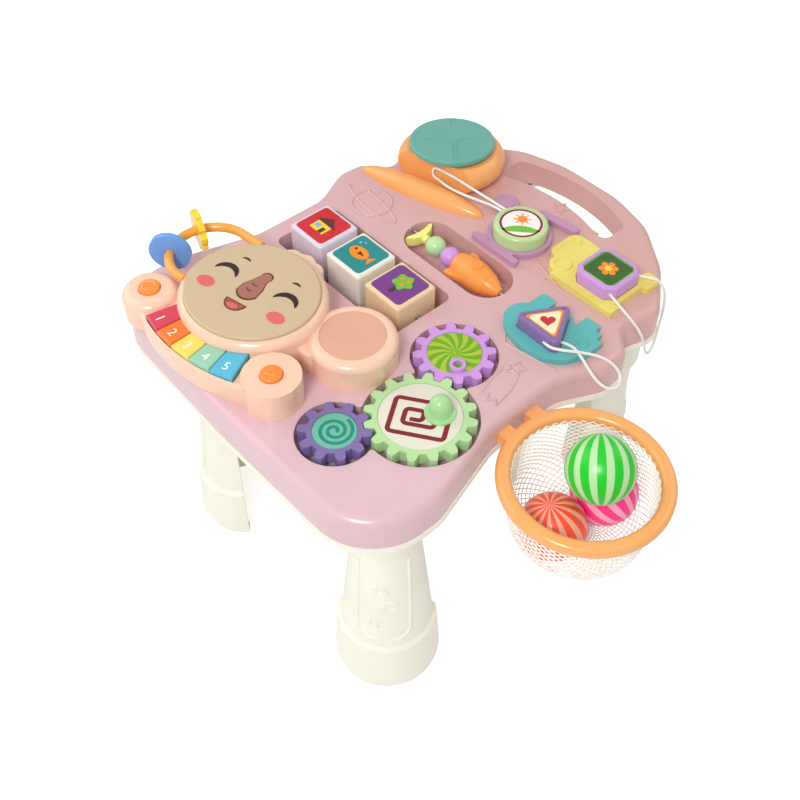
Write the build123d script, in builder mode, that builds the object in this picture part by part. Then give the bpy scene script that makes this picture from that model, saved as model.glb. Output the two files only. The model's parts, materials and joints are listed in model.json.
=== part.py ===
from build123d import *
import os
from math import acos, cos, degrees, pi, radians, sin, sqrt, tan

os.makedirs("parts", exist_ok=True)

# A toddler's activity table on four half-round legs: a moulded deck with a piano module,
# turning picture blocks, a rocket on a rod, three meshing gears, shape toys on cords,
# a dial on a dome, and a ball hoop with a net clipped to one side.
# Millimetres. +X is the hoop side, +Y the carrying handle, +Z up, floor at Z = 0.

# Deck and base tray
DECK_Z = 315.0
SKIRT_H = 32.0
WALL = 3.0
DECK_EDGE_R = 9.0
DECK_FRONT = 230.0
DECK_BACK = 230.0
DECK_HALF = 180.0
LOBE_HALF = 183.0
WAIST_HALF = 160.0
NOTCH_HALF = 155.0
EAR_HALF = 167.0
RIM_H = 6.0
RIM_PROUD = 1.0
PAN_MARGIN = 15.0
PAN_L = 340.0
PAN_CORNER_R = 40.0
PAN_CENTRE_Y = -25.0
PAN_DROP = 14.0
LIP_H = 6.0
LIP_T = 2.0
LIP_GAP = 0.2

# Stations and corner radii along the deck's outline, from its front middle to its back
FRONT_CROWN = 4.0
LOBE_BACK_Y = -150.0
WAIST_FRONT_Y = -72.0
WAIST_BACK_Y = 5.0
WING_FRONT_Y = 46.0
WING_BACK_Y = 72.0
WING_TAPER = 2.0
NOTCH_Y = 94.0
HIP_Y = 132.0
SHOULDER_IN = 39.0
SHOULDER_DROP = 48.0
BROW_IN = 85.0
BROW_DROP = 13.0
CROWN_HALF = 35.0
FRONT_R = 60.0
WAIST_R = 45.0
WING_R = 30.0
WING_TIP_R = 12.0
NOTCH_R = 9.0
HIP_R = 22.0
CROWN_R = 90.0

# Carrying slot behind the deck, and the bar left behind it
SLOT_HALF = 70.0
SLOT_NEAR_Y = 179.0
SLOT_FAR_Y = 213.0
SLOT_BOW = 16.0
SLOT_CORNER_R = 9.0
HANDLE_H = 24.0

# Legs
LEG_INSET = 61.0
LEG_FRONT_Y = -152.0
LEG_BACK_Y = 125.0
LEG_TOP_R = 31.0
LEG_STRAIGHT = 40.0
LEG_SHIN_R = 44.0
FOOT_R = 52.0
FOOT_TOP_R = 48.0
FOOT_H = 62.0
FOOT_SOLE_H = 8.0
FOOT_LIP = 12.0
LEG_WALL = 3.0
LEG_ARC = 200.0
LEG_PLATE_T = 4.0
SOCKET_DEPTH = 28.0
SOCKET_WALL = 4.0
LEG_GAP = 0.1

# Screws
SCREW_R = 1.6
SCREW_HEAD_R = 3.5
SCREW_HEAD_H = 2.2
SCREW_BITE = 12.0
SCREW_GAP = 0.05
SCREW_TIP_GAP = 2.0
BOSS_R = 4.5
LEG_SCREW_OUT = 15.0
FRONT_SCREW_INSET = 15.0
WAIST_SCREW_INSET = 10.0
WAIST_SCREW_Y = -14.0
LOBE_SCREW_INSET = 17.0
LOBE_SCREW_Y = -170.0
BACK_SCREW_INSET = 47.0
BACK_SCREW_Y = 168.0

# Gears: one module, stub teeth
GEAR_MODULE = 5.4
GEAR_ADDENDUM = 3.2
GEAR_DEDENDUM = 4.0
PRESSURE_ANGLE = 25.0
GEAR_BACKLASH = 0.8
LARGE_TEETH = 16
SMALL_TEETH = 10
MEDIUM_TEETH = 12
LARGE_GEAR_X = 116.0
LARGE_GEAR_Y = -111.0
SMALL_DIR = -118.8
MEDIUM_DIR = 115.2
GEAR_T = 12.0
GEAR_PROUD = 4.0
GEAR_POCKET_GAP = 2.6
GEAR_POCKET_DEPTH = 14.0
GEAR_RIM = 4.5
GEAR_DISC_SINK = 1.2
AXLE_R = 4.0
AXLE_SHOULDER_R = 7.5
AXLE_REACH = 8.0
RUN_GAP = 0.06
SEAT_GAP = 0.3
KNOB_OUT = 16.0
KNOB_DIR = 56.0
KNOB_R = 9.0
KNOB_H = 21.0
KNOB_FLANGE_R = 13.0
KNOB_FLANGE_H = 3.0
CUP_OUT = 17.0
CUP_DIR = -35.0
CUP_R = 7.0
CUP_HOLE_R = 4.0
CUP_H = 5.0

# Turning picture blocks
BLOCK = 46.0
BLOCK_EDGE_R = 3.0
BLOCK_PITCH = 54.0
BLOCK_X = -53.0
BLOCK_Y = -31.0
BLOCK_AXIS_DROP = 6.0
BLOCK_COUNT = 3
BLOCK_SHAFT_R = 2.5
TROUGH_HALF_W = 36.0
TROUGH_END_GAP = 7.0
TROUGH_DEPTH = 40.0
TROUGH_CORNER_R = 8.0

# Rocket on its rod
ROCKET_POCKET_L = 125.0
ROCKET_POCKET_W = 50.0
ROCKET_POCKET_X = -4.0
ROCKET_POCKET_Y = 45.0
ROCKET_POCKET_DEPTH = 21.0
ROD_R = 2.0
ROD_DROP = 5.0
BEAD_R = 10.0
ROCKET_TAIL_X = -3.0
ROCKET_L = 55.0
ROCKET_R = 14.5
ROCKET_FIN_SPAN = 19.0
ROCKET_FIN_T = 4.0
FLAME_SPAN = 26.0
FLAME_T = 9.0
FLAME_STEM_R = 4.5

# Shape toys, their raised plates and their cords
PLATE_H = 6.0
TOY_H = 18.0
TOY_SINK = 5.0
TOY_GAP = 0.5
TOY_EDGE_R = 3.0
TOY_PANEL_SINK = 1.0
TOY_FRAME = 1.5
ROUND_AT = (14.0, 109.0)
ROUND_R = 26.0
SQUARE_AT = (110.0, 122.0)
SQUARE_SIDE = 46.0
SQUARE_CUT = 8.0
TRIANGLE_AT = (119.0, 33.0)
TRIANGLE_R = 31.0
TRIANGLE_ROUND = 5.0
SOCKET_RIM = 5.0

# Forms of the helicopter plate, with places from the round toy's centre
SKID_SIZE = (58.0, 7.0)
SKID_AT = (-2.0, -32.0)
STRUT_SIZE = (6.0, 14.0)
STRUTS_AT = [(-18.0, -25.0), (14.0, -25.0)]
TAIL_ROTOR_R = 12.0
TAIL_ROTOR_AT = (-42.0, 24.0)
TAIL_BOOM = [(-46.0, 34.0), (-34.0, 14.0), (-18.0, 8.0), (-10.0, 24.0)]
MAST_SIZE = (7.0, 14.0)
MAST_AT = (1.0, 33.0)
ROTOR_SIZE = (46.0, 9.0)
ROTOR_AT = (12.0, 41.0)
ROTOR_TURN = 8.0

# Forms of the digger plate, with places from the square toy's centre
CAB_SIZE = (36.0, 40.0)
CAB_CORNER_R = 10.0
CAB_AT = (-44.0, 8.0)
WHEEL_R = 12.0
WHEEL_AT = (-40.0, -15.0)
CHASSIS_SIZE = (24.0, 24.0)
CHASSIS_AT = (-28.0, -14.0)
TRACK_SIZE = (72.0, 12.0)
TRACK_AT = (-4.0, -26.0)
BUCKET_SIZE = (16.0, 20.0)
BUCKET_CORNER_R = 4.0
BUCKET_AT = (26.0, 26.0)

# Forms of the ship plate, with places from the triangle toy's centre
HULL_RADII = (40.0, 27.0)
HULL_AT = (-2.0, -2.0)
FUNNEL_SIZE = (16.0, 22.0)
FUNNEL_CORNER_R = 3.0
FUNNEL_AT = (-26.0, 22.0)
STERN_SIZE = (16.0, 26.0)
STERN_AT = (20.0, 26.0)
STERN_STEP = 7.0
STERN_STEPS = 3

# Cord loops of the toys
CORD_D = 2.6
CORD_BEND_SHARE = 0.45

# Dome with its dial and brim
DOME_X = -107.0
DOME_Y = 134.0
DOME_R = 54.0
DOME_FOOT_R = 43.0
DOME_TOP_R = 45.0
DOME_H = 27.0
DOME_WIDEST = 0.45
DOME_TILT = 4.0
DOME_TILT_DIR = 138.6
DOME_CUT = 31.0
DIAL_R = 42.5
DIAL_T = 6.0
DIAL_EDGE_R = 2.0
PIVOT_R = 5.0
PIVOT_FLANGE_R = 12.0
PIVOT_FLANGE_T = 1.5
PIVOT_REACH = 4.0
BRIM_X = -99.0
BRIM_Y = 86.0
BRIM_L = 142.0
BRIM_R = 13.0
BRIM_TURN = 15.0

# Piano module: an animal-head case laid out about a fan centre behind the keys
FAN_X = -72.0
FAN_Y = -59.0
FAN_TURN = 7.0
BASE_T = 3.0
CASE_WALL = 2.5
BODY_H = 22.0
BODY_EDGE_R = 3.0
BODY_R_IN = 126.0
BODY_R_OUT = 172.0
HAND_R = 25.0
HAND_RING = 157.0
HAND_ANGLE = 29.0
HAND_H = 28.0
HAND_EDGE_R = 7.5
HEAD_Y = -86.0
HEAD_A = 68.0
HEAD_B = 63.0
HEAD_H = 36.0
HEAD_EDGE_R = 9.0
HEAD_TOP_T = 5.0
EAR_X = 94.0
EAR_Y = -61.0
EAR_R = 38.5
EAR_H = 27.0
EAR_EDGE_R = 7.0
NECK_H = 22.0
NECK_R = 26.0
EAR_PAD_R = 28.5
EAR_PAD_SINK = 1.2
EAR_PAD_T = 0.8
FACE_A = 62.0
FACE_B = 57.0
FACE_SINK = 2.0
FACE_T = 4.5
FACE_EDGE_R = 2.0
KEY_COUNT = 5
KEY_PITCH = 7.5
KEY_R_IN = 137.0
KEY_R_OUT = 169.0
KEY_GAP = 0.4
KEY_FOOT = 13.0
KEY_TOP = 27.0
KEY_TRAVEL = 3.0
KEY_EDGE_R = 1.5
KEY_END_GAP = 0.2
BUTTON_R = 9.5
BUTTON_GAP = 0.4
BUTTON_FOOT = 14.0
BUTTON_TOP = 31.0
BUTTON_EDGE_R = 2.0
BOARD_R_IN = 138.0
BOARD_R_OUT = 166.0
BOARD_T = 1.6
BOARD_PAD = 6.0
BOARD_PAD_H = 2.0
BOARD_PAD_INSET = 4.0
BOARD_PAD_ANGLE = 14.0
BOARD_TRIM = 2.0
STRIP_R_IN = 146.0
STRIP_R_OUT = 160.0
STRIP_TRIM = 3.0
SPEAKER_R = 20.0
SPEAKER_H = 9.0
CONE_R = 16.0
CONE_DEPTH = 3.0
CONE_TAPER = 35.0
CELL_R = 7.2
CELL_L = 50.0
CELL_COUNT = 3
CELL_GAP = 0.5
DOOR_W = 58.0
DOOR_L = 52.0
DOOR_GAP = 0.2
LOOP_X = -65.0
LOOP_Y = -75.0
LOOP_R = 37.5
LOOP_TUBE_R = 4.3
LOOP_RISE = 32.0
LOOP_BITE = 4.0
LOOP_HOLE_REACH = 10.0
RING_R = 19.0
RING_T = 6.0
RING_GAP = 0.4
BLUE_ANGLE = 215.0
YELLOW_ANGLE = 156.0
SCALLOPS = 9
SCALLOP_R = 4.0

# Ball hoop with its net and three balls
HOOP_OUT = 75.5
HOOP_Y = -42.0
HOOP_DROP = 22.0
HOOP_R = 72.0
HOOP_W = 12.5
HOOP_H = 12.0
HOOP_ROUND = 5.0
CLIP_SPREAD = 16.0
CLIP_W = 14.0
CLIP_H = 12.0
TONGUE_W = 8.0
TONGUE_H = 5.0
TONGUE_L = 8.0
TONGUE_GAP = 0.3
NET_T = 1.2
NET_GAP = 0.1
NET_DEPTH = 72.0
NET_FLOOR_R = 40.0
NET_BEND = 26.0
NET_SAG = 0.3
BALL_R = 28.5
BALL_WALL = 1.5
BALL_GAP = 0.3
BALL_ROW_DIR = 85.0
BALL_ALONG = 9.0
BALL_ASIDE = -5.5

# Values that follow from the sizes above
HOOP_X = WAIST_HALF + HOOP_OUT
AXIS_X = (LOBE_HALF + RIM_PROUD - HOOP_X - HOOP_R) / 2
LEG_X = DECK_HALF - LEG_INSET
PAN_W = 2 * (WAIST_HALF - PAN_MARGIN)
SKIRT_Z = DECK_Z - SKIRT_H
RIM_Z = SKIRT_Z - RIM_H
PAN_Z = RIM_Z - PAN_DROP
SOCKET_Z = PAN_Z - SOCKET_DEPTH
SCREW_SPOTS = [(0, FRONT_SCREW_INSET - DECK_FRONT)]
for side in (-1, 1):
    SCREW_SPOTS.append((side * (WAIST_HALF - WAIST_SCREW_INSET), WAIST_SCREW_Y))
    SCREW_SPOTS.append((side * (LOBE_HALF - LOBE_SCREW_INSET), LOBE_SCREW_Y))
    SCREW_SPOTS.append((side * (EAR_HALF - BACK_SCREW_INSET), BACK_SCREW_Y))
LEG_SPOTS = {
    "front_right": (LEG_X, LEG_FRONT_Y, -45),
    "front_left": (-LEG_X, LEG_FRONT_Y, -135),
    "back_right": (LEG_X, LEG_BACK_Y, 45),
    "back_left": (-LEG_X, LEG_BACK_Y, 135),
}
GEAR_Z = DECK_Z + GEAR_PROUD - GEAR_T
POCKET_Z = DECK_Z - GEAR_POCKET_DEPTH
BLOCK_Z = DECK_Z - BLOCK_AXIS_DROP
TROUGH_L = BLOCK_PITCH * (BLOCK_COUNT - 1) + BLOCK + 2 * TROUGH_END_GAP
ROD_Z = DECK_Z - ROD_DROP
CASE_Z = DECK_Z + BASE_T
TOY_Z = DECK_Z + PLATE_H - TOY_SINK
HOOP_Z = DECK_Z - HOOP_DROP
HOOP_IN_R = HOOP_R - HOOP_W
KEY_SPAN = KEY_PITCH * KEY_COUNT / 2
LOOP_Z = DECK_Z + LOOP_RISE


def level(z):
    """Horizontal plane at height z with its origin on the table's axis."""
    return Plane((AXIS_X, 0, z))


def spot(x, y, z):
    """Point given from the table's axis."""
    return (AXIS_X + x, y, z)


def fan(z):
    """Horizontal plane of the piano module, with its origin at the fan centre."""
    turn = radians(FAN_TURN)
    return Plane(spot(FAN_X, FAN_Y, z), x_dir=(cos(turn), sin(turn), 0), z_dir=(0, 0, 1))


def polar(radius, angle):
    """Plane point at a radius and an angle in degrees."""
    return (radius * cos(radians(angle)), radius * sin(radians(angle)))


def save(piece, name):
    """Label a finished piece and write it to its own file."""
    piece.part.label = name
    export_step(piece.part, f"parts/{name}.step")


def rounded_slab(face, plane, height, radius):
    """Face raised by a height, with its top edge rounded."""
    with BuildPart() as slab:
        with BuildSketch(plane):
            add(face)
        extrude(amount=height)
        fillet(slab.faces().sort_by(Axis.Z)[-1].edges(), radius)
    return slab.part


# Flat outlines used by more than one piece
with BuildSketch() as deck_face:
    with BuildLine():
        FilletPolyline(
            (0, -DECK_FRONT),
            (LOBE_HALF, FRONT_CROWN - DECK_FRONT),
            (LOBE_HALF, LOBE_BACK_Y),
            (WAIST_HALF, WAIST_FRONT_Y),
            (WAIST_HALF, WAIST_BACK_Y),
            (DECK_HALF, WING_FRONT_Y),
            (DECK_HALF - WING_TAPER, WING_BACK_Y),
            (NOTCH_HALF, NOTCH_Y),
            (EAR_HALF, HIP_Y),
            (EAR_HALF - SHOULDER_IN, DECK_BACK - SHOULDER_DROP),
            (EAR_HALF - BROW_IN, DECK_BACK - BROW_DROP),
            (CROWN_HALF, DECK_BACK),
            (0, DECK_BACK),
            radius=[
                FRONT_R,
                WAIST_R,
                WAIST_R,
                WAIST_R,
                WING_R,
                WING_TIP_R,
                NOTCH_R,
                HIP_R,
                FRONT_R,
                FRONT_R,
                CROWN_R,
            ],
        )
        mirror(about=Plane.YZ)
    make_face()

with BuildSketch() as slot_face:
    with BuildLine():
        near = ThreePointArc(
            (-SLOT_HALF, SLOT_NEAR_Y - SLOT_BOW),
            (0, SLOT_NEAR_Y),
            (SLOT_HALF, SLOT_NEAR_Y - SLOT_BOW),
        )
        far = ThreePointArc(
            (SLOT_HALF, SLOT_FAR_Y - SLOT_BOW),
            (0, SLOT_FAR_Y),
            (-SLOT_HALF, SLOT_FAR_Y - SLOT_BOW),
        )
        Line(near @ 1, far @ 0)
        Line(far @ 1, near @ 0)
    make_face()
    fillet(slot_face.vertices(), SLOT_CORNER_R)

# Plan of the space under the handle bar, which is shallower than the skirt
with BuildSketch() as handle_gap_face:
    with Locations((0, (SLOT_NEAR_Y + SLOT_FAR_Y) / 2)):
        Rectangle(2 * (SLOT_HALF - SLOT_CORNER_R), DECK_BACK, align=(Align.CENTER, Align.MIN))


def pitch_radius(teeth):
    return GEAR_MODULE * teeth / 2


def gear_place(teeth, direction):
    """Centre of a gear that meshes with the large one in a given direction."""
    reach = pitch_radius(LARGE_TEETH) + pitch_radius(teeth)
    dx, dy = polar(reach, direction)
    return (LARGE_GEAR_X + dx, LARGE_GEAR_Y + dy)


SMALL_PLACE = gear_place(SMALL_TEETH, SMALL_DIR)
MEDIUM_PLACE = gear_place(MEDIUM_TEETH, MEDIUM_DIR)
LARGE_PLACE = (LARGE_GEAR_X, LARGE_GEAR_Y)
# A large tooth points at the small gear, whose gap faces it; the medium gear's gap faces
# the large tooth that is nearest to the line between their centres.
LARGE_PHASE = SMALL_DIR
SMALL_PHASE = SMALL_DIR + 180 + 180 / SMALL_TEETH
MEDIUM_LAG = (MEDIUM_DIR - LARGE_PHASE) % (360 / LARGE_TEETH)
MEDIUM_PHASE = MEDIUM_DIR + 180 + MEDIUM_LAG * LARGE_TEETH / MEDIUM_TEETH + 180 / MEDIUM_TEETH
GEARS = {
    "gear_large": (LARGE_TEETH, LARGE_PLACE, LARGE_PHASE),
    "gear_small": (SMALL_TEETH, SMALL_PLACE, SMALL_PHASE),
    "gear_medium": (MEDIUM_TEETH, MEDIUM_PLACE, MEDIUM_PHASE),
}

with BuildSketch() as gear_pocket_face:
    for teeth, place, _ in GEARS.values():
        with Locations(place):
            Circle(pitch_radius(teeth) + GEAR_ADDENDUM + GEAR_POCKET_GAP)
    fillet(gear_pocket_face.vertices(), GEAR_POCKET_GAP)

with BuildSketch() as gear_wall_face:
    for teeth, place, _ in GEARS.values():
        with Locations(place):
            Circle(pitch_radius(teeth) + GEAR_ADDENDUM + GEAR_POCKET_GAP + WALL)

with BuildSketch() as trough_face:
    with Locations((BLOCK_X, BLOCK_Y)):
        RectangleRounded(TROUGH_L, 2 * TROUGH_HALF_W, TROUGH_CORNER_R)

with BuildSketch() as trough_wall_face:
    with Locations((BLOCK_X, BLOCK_Y)):
        RectangleRounded(TROUGH_L + 2 * WALL, 2 * TROUGH_HALF_W + 2 * WALL, TROUGH_CORNER_R + WALL)

with BuildSketch() as rocket_pocket_face:
    with Locations((ROCKET_POCKET_X, ROCKET_POCKET_Y)):
        SlotOverall(ROCKET_POCKET_L, ROCKET_POCKET_W)

with BuildSketch() as rocket_wall_face:
    with Locations((ROCKET_POCKET_X, ROCKET_POCKET_Y)):
        SlotOverall(ROCKET_POCKET_L + 2 * WALL, ROCKET_POCKET_W + 2 * WALL)

# Opening, outline of its walls, and depth of each pocket
POCKETS = [
    (gear_pocket_face.sketch, gear_wall_face.sketch, GEAR_POCKET_DEPTH),
    (trough_face.sketch, trough_wall_face.sketch, TROUGH_DEPTH),
    (rocket_pocket_face.sketch, rocket_wall_face.sketch, ROCKET_POCKET_DEPTH),
]

# Deck: a rounded shell with pockets, screw bosses and the carrying slot
with BuildSketch() as deck_inner_face:
    add(deck_face.sketch)
    offset(amount=-WALL)
deck_shell = rounded_slab(deck_face.sketch, level(SKIRT_Z), SKIRT_H, DECK_EDGE_R)
deck_hollow = rounded_slab(deck_inner_face.sketch, level(SKIRT_Z), SKIRT_H - WALL, DECK_EDGE_R - WALL)

# What is left open inside the shell: the hollow less the pocket walls, slot wall and bosses
with BuildPart() as deck_void:
    add(deck_hollow)
    for _, wall_face, depth in POCKETS:
        with BuildSketch(level(DECK_Z - depth - WALL)):
            add(wall_face)
        extrude(amount=depth + WALL, mode=Mode.SUBTRACT)
    with BuildSketch(level(SKIRT_Z)):
        add(slot_face.sketch)
        offset(amount=WALL)
    extrude(amount=SKIRT_H, mode=Mode.SUBTRACT)
    with BuildSketch(level(SKIRT_Z)):
        with Locations(*SCREW_SPOTS):
            Circle(BOSS_R)
    extrude(amount=SKIRT_H, mode=Mode.SUBTRACT)

with BuildPart() as top_deck:
    add(deck_shell)
    add(deck_void.part, mode=Mode.SUBTRACT)
    with BuildSketch(level(DECK_Z - TROUGH_DEPTH - WALL)):
        add(trough_wall_face.sketch)
    extrude(amount=SKIRT_H)
    for face, _, depth in POCKETS:
        with BuildSketch(level(DECK_Z)):
            add(face)
        extrude(amount=-depth, mode=Mode.SUBTRACT)
    with BuildSketch(level(SKIRT_Z)):
        add(slot_face.sketch)
    extrude(amount=SKIRT_H, mode=Mode.SUBTRACT)
    with BuildSketch(level(SKIRT_Z)):
        add(handle_gap_face.sketch)
    extrude(amount=SKIRT_H - HANDLE_H, mode=Mode.SUBTRACT)
    with BuildSketch(level(SKIRT_Z)):
        with Locations(*SCREW_SPOTS):
            Circle(SCREW_R + SCREW_GAP)
    extrude(amount=SCREW_BITE + SCREW_TIP_GAP, mode=Mode.SUBTRACT)
    # Windows in the skirt for the hoop's two tongues
    with Locations(
        spot(WAIST_HALF - WALL / 2, HOOP_Y - CLIP_SPREAD, HOOP_Z),
        spot(WAIST_HALF - WALL / 2, HOOP_Y + CLIP_SPREAD, HOOP_Z),
    ):
        Box(3 * WALL, TONGUE_W + 2 * TONGUE_GAP, TONGUE_H + 2 * TONGUE_GAP, mode=Mode.SUBTRACT)
    # Bearings of the block shaft and of the rocket's rod in their pocket ends
    with BuildSketch(Plane(spot(BLOCK_X - TROUGH_L / 2 - WALL, BLOCK_Y, BLOCK_Z), z_dir=(1, 0, 0))):
        Circle(BLOCK_SHAFT_R + SCREW_GAP)
    extrude(amount=TROUGH_L + 2 * WALL, mode=Mode.SUBTRACT)
    with BuildSketch(
        Plane(
            spot(ROCKET_POCKET_X - ROCKET_POCKET_L / 2 - WALL, ROCKET_POCKET_Y, ROD_Z),
            z_dir=(1, 0, 0),
        )
    ):
        Circle(ROD_R + SCREW_GAP)
    extrude(amount=ROCKET_POCKET_L + 2 * WALL, mode=Mode.SUBTRACT)
    # Bores for the gear axles in the pocket floor
    with BuildSketch(level(POCKET_Z)):
        with Locations(*[place for _, place, _ in GEARS.values()]):
            Circle(AXLE_R + SCREW_GAP)
    extrude(amount=-WALL, mode=Mode.SUBTRACT)
save(top_deck, "top_deck")

# Base tray: visible rim, locating lip, pan and four leg sockets
with BuildPart() as base_tray:
    with BuildSketch(level(RIM_Z)):
        add(deck_face.sketch)
        offset(amount=RIM_PROUD)
    extrude(amount=RIM_H)
    with BuildSketch(level(SKIRT_Z)):
        add(deck_face.sketch)
        offset(amount=-WALL - LIP_GAP)
    extrude(amount=LIP_H)
    with BuildSketch(level(SKIRT_Z)):
        add(deck_face.sketch)
        offset(amount=-WALL - LIP_GAP - LIP_T)
    extrude(amount=LIP_H, mode=Mode.SUBTRACT)
    with BuildSketch(level(PAN_Z)):
        with Locations((0, PAN_CENTRE_Y)):
            RectangleRounded(PAN_W, PAN_L, PAN_CORNER_R)
    extrude(amount=PAN_DROP)
    with BuildSketch(level(SOCKET_Z)):
        with Locations(*[(x, y) for x, y, _ in LEG_SPOTS.values()]):
            Circle(LEG_TOP_R + LEG_GAP + SOCKET_WALL)
    extrude(amount=RIM_Z - SOCKET_Z)
    with BuildSketch(level(PAN_Z + WALL)):
        with Locations((0, PAN_CENTRE_Y)):
            RectangleRounded(PAN_W - 2 * WALL, PAN_L - 2 * WALL, PAN_CORNER_R - WALL)
    extrude(amount=SKIRT_Z - PAN_Z - WALL, mode=Mode.SUBTRACT)
    with BuildSketch(level(SOCKET_Z)):
        with Locations(*[(x, y) for x, y, _ in LEG_SPOTS.values()]):
            Circle(LEG_TOP_R + LEG_GAP)
    extrude(amount=SOCKET_DEPTH, mode=Mode.SUBTRACT)
    with BuildSketch(level(RIM_Z)):
        add(slot_face.sketch)
        add(handle_gap_face.sketch)
    extrude(amount=RIM_H + LIP_H, mode=Mode.SUBTRACT)
    with BuildSketch(level(RIM_Z)):
        with Locations(*SCREW_SPOTS):
            Circle(SCREW_R + SCREW_GAP)
    extrude(amount=RIM_H, mode=Mode.SUBTRACT)
    for x, y, out in LEG_SPOTS.values():
        dx, dy = polar(LEG_SCREW_OUT, out)
        with BuildSketch(level(PAN_Z)):
            with Locations((x + dx, y + dy)):
                Circle(SCREW_R + SCREW_GAP)
        extrude(amount=WALL, mode=Mode.SUBTRACT)
save(base_tray, "base_tray")

# Legs: half-round tapering shells, open towards the middle of the table
leg_profile = [
    (FOOT_R, 0),
    (FOOT_R, FOOT_SOLE_H),
    (FOOT_TOP_R, FOOT_H),
    (LEG_SHIN_R, FOOT_H + 4),
    (LEG_TOP_R, SOCKET_Z - LEG_STRAIGHT),
    (LEG_TOP_R, PAN_Z),
    (0, PAN_Z),
    (0, PAN_Z - LEG_PLATE_T),
    (LEG_TOP_R - LEG_WALL, PAN_Z - LEG_PLATE_T),
    (LEG_TOP_R - LEG_WALL, SOCKET_Z - LEG_STRAIGHT),
    (LEG_SHIN_R - LEG_WALL, FOOT_H + 4 - LEG_WALL),
    (FOOT_TOP_R - LEG_WALL, FOOT_H - LEG_WALL),
    (FOOT_R - LEG_WALL, FOOT_SOLE_H),
    (FOOT_R - LEG_WALL, LEG_WALL),
    (FOOT_R - FOOT_LIP, LEG_WALL),
    (FOOT_R - FOOT_LIP, 0),
]
for leg_name, (x, y, out) in LEG_SPOTS.items():
    start = radians(out - LEG_ARC / 2)
    radial = Plane(spot(x, y, 0), x_dir=(cos(start), sin(start), 0), z_dir=(sin(start), -cos(start), 0))
    screw_x, screw_y = polar(LEG_SCREW_OUT, out)
    with BuildPart() as leg:
        with BuildSketch(radial):
            with BuildLine():
                Polyline(*leg_profile, close=True)
            make_face()
        revolve(axis=Axis(spot(x, y, 0), (0, 0, 1)), revolution_arc=LEG_ARC)
        with BuildSketch(level(PAN_Z)):
            with Locations((x + screw_x, y + screw_y)):
                Circle(SCREW_R + SCREW_GAP)
        extrude(amount=-LEG_PLATE_T, mode=Mode.SUBTRACT)
    save(leg, f"leg_{leg_name}")

# Screws: seven hold the deck to the tray, one holds each leg
with BuildPart() as tray_screws:
    with BuildSketch(level(RIM_Z - SCREW_HEAD_H)):
        with Locations(*SCREW_SPOTS):
            Circle(SCREW_HEAD_R)
    extrude(amount=SCREW_HEAD_H)
    with BuildSketch(level(RIM_Z)):
        with Locations(*SCREW_SPOTS):
            Circle(SCREW_R)
    extrude(amount=RIM_H + SCREW_BITE)
save(tray_screws, "tray_screws")

leg_screw_spots = []
for x, y, out in LEG_SPOTS.values():
    screw_x, screw_y = polar(LEG_SCREW_OUT, out)
    leg_screw_spots.append((x + screw_x, y + screw_y))
with BuildPart() as leg_screws:
    with BuildSketch(level(PAN_Z - LEG_PLATE_T - SCREW_HEAD_H)):
        with Locations(*leg_screw_spots):
            Circle(SCREW_HEAD_R)
    extrude(amount=SCREW_HEAD_H)
    with BuildSketch(level(PAN_Z - LEG_PLATE_T)):
        with Locations(*leg_screw_spots):
            Circle(SCREW_R)
    extrude(amount=LEG_PLATE_T + WALL)
save(leg_screws, "leg_screws")


# Gears
def tooth_half_angle(teeth, radius):
    """Half the angle that an involute tooth spans at a radius, in radians."""
    base = pitch_radius(teeth) * cos(radians(PRESSURE_ANGLE))
    tilt = acos(min(1.0, base / radius))
    pitch_tilt = radians(PRESSURE_ANGLE)
    at_pitch = pi / (2 * teeth) - GEAR_BACKLASH / (4 * pitch_radius(teeth))
    return at_pitch + tan(pitch_tilt) - pitch_tilt - tan(tilt) + tilt


def tooth_sketch(teeth):
    """One tooth along +X, from inside the root circle to the tip."""
    tip = pitch_radius(teeth) + GEAR_ADDENDUM
    root = pitch_radius(teeth) - GEAR_DEDENDUM
    base = max(root, pitch_radius(teeth) * cos(radians(PRESSURE_ANGLE)))
    flank = []
    for radius in (root - 1, base, (base + tip) / 2, tip):
        flank.append(polar(radius, degrees(tooth_half_angle(teeth, max(radius, base)))))
    with BuildSketch() as tooth:
        with BuildLine():
            Line(flank[0], flank[1])
            ThreePointArc(flank[1], flank[2], flank[3])
            ThreePointArc(flank[3], (tip, 0), (flank[3][0], -flank[3][1]))
            ThreePointArc(*[(px, -py) for px, py in flank[3:0:-1]])
            Line((flank[1][0], -flank[1][1]), (flank[0][0], -flank[0][1]))
            Line((flank[0][0], -flank[0][1]), flank[0])
        make_face()
    return tooth.sketch


for gear_name, (teeth, place, phase) in GEARS.items():
    tooth = tooth_sketch(teeth)
    root = pitch_radius(teeth) - GEAR_DEDENDUM
    gear_plane = Plane(spot(*place, GEAR_Z))
    with BuildPart() as gear:
        with BuildSketch(gear_plane):
            Circle(root)
            with PolarLocations(0, teeth, start_angle=phase):
                add(tooth)
        extrude(amount=GEAR_T)
        with BuildSketch(gear_plane.offset(GEAR_T)):
            Circle(root - GEAR_RIM)
        extrude(amount=-GEAR_DISC_SINK, mode=Mode.SUBTRACT)
        if gear_name == "gear_medium":
            with BuildSketch(gear_plane.offset(GEAR_T - GEAR_DISC_SINK)):
                with Locations(polar(CUP_OUT, CUP_DIR)):
                    Circle(CUP_R)
            extrude(amount=CUP_H)
            with BuildSketch(gear_plane.offset(GEAR_T - GEAR_DISC_SINK + CUP_H)):
                with Locations(polar(CUP_OUT, CUP_DIR)):
                    Circle(CUP_HOLE_R)
            extrude(amount=-CUP_H, mode=Mode.SUBTRACT)
        with BuildSketch(gear_plane):
            Circle(AXLE_R + RUN_GAP)
        extrude(amount=AXLE_REACH + SEAT_GAP, mode=Mode.SUBTRACT)
    save(gear, gear_name)

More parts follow.
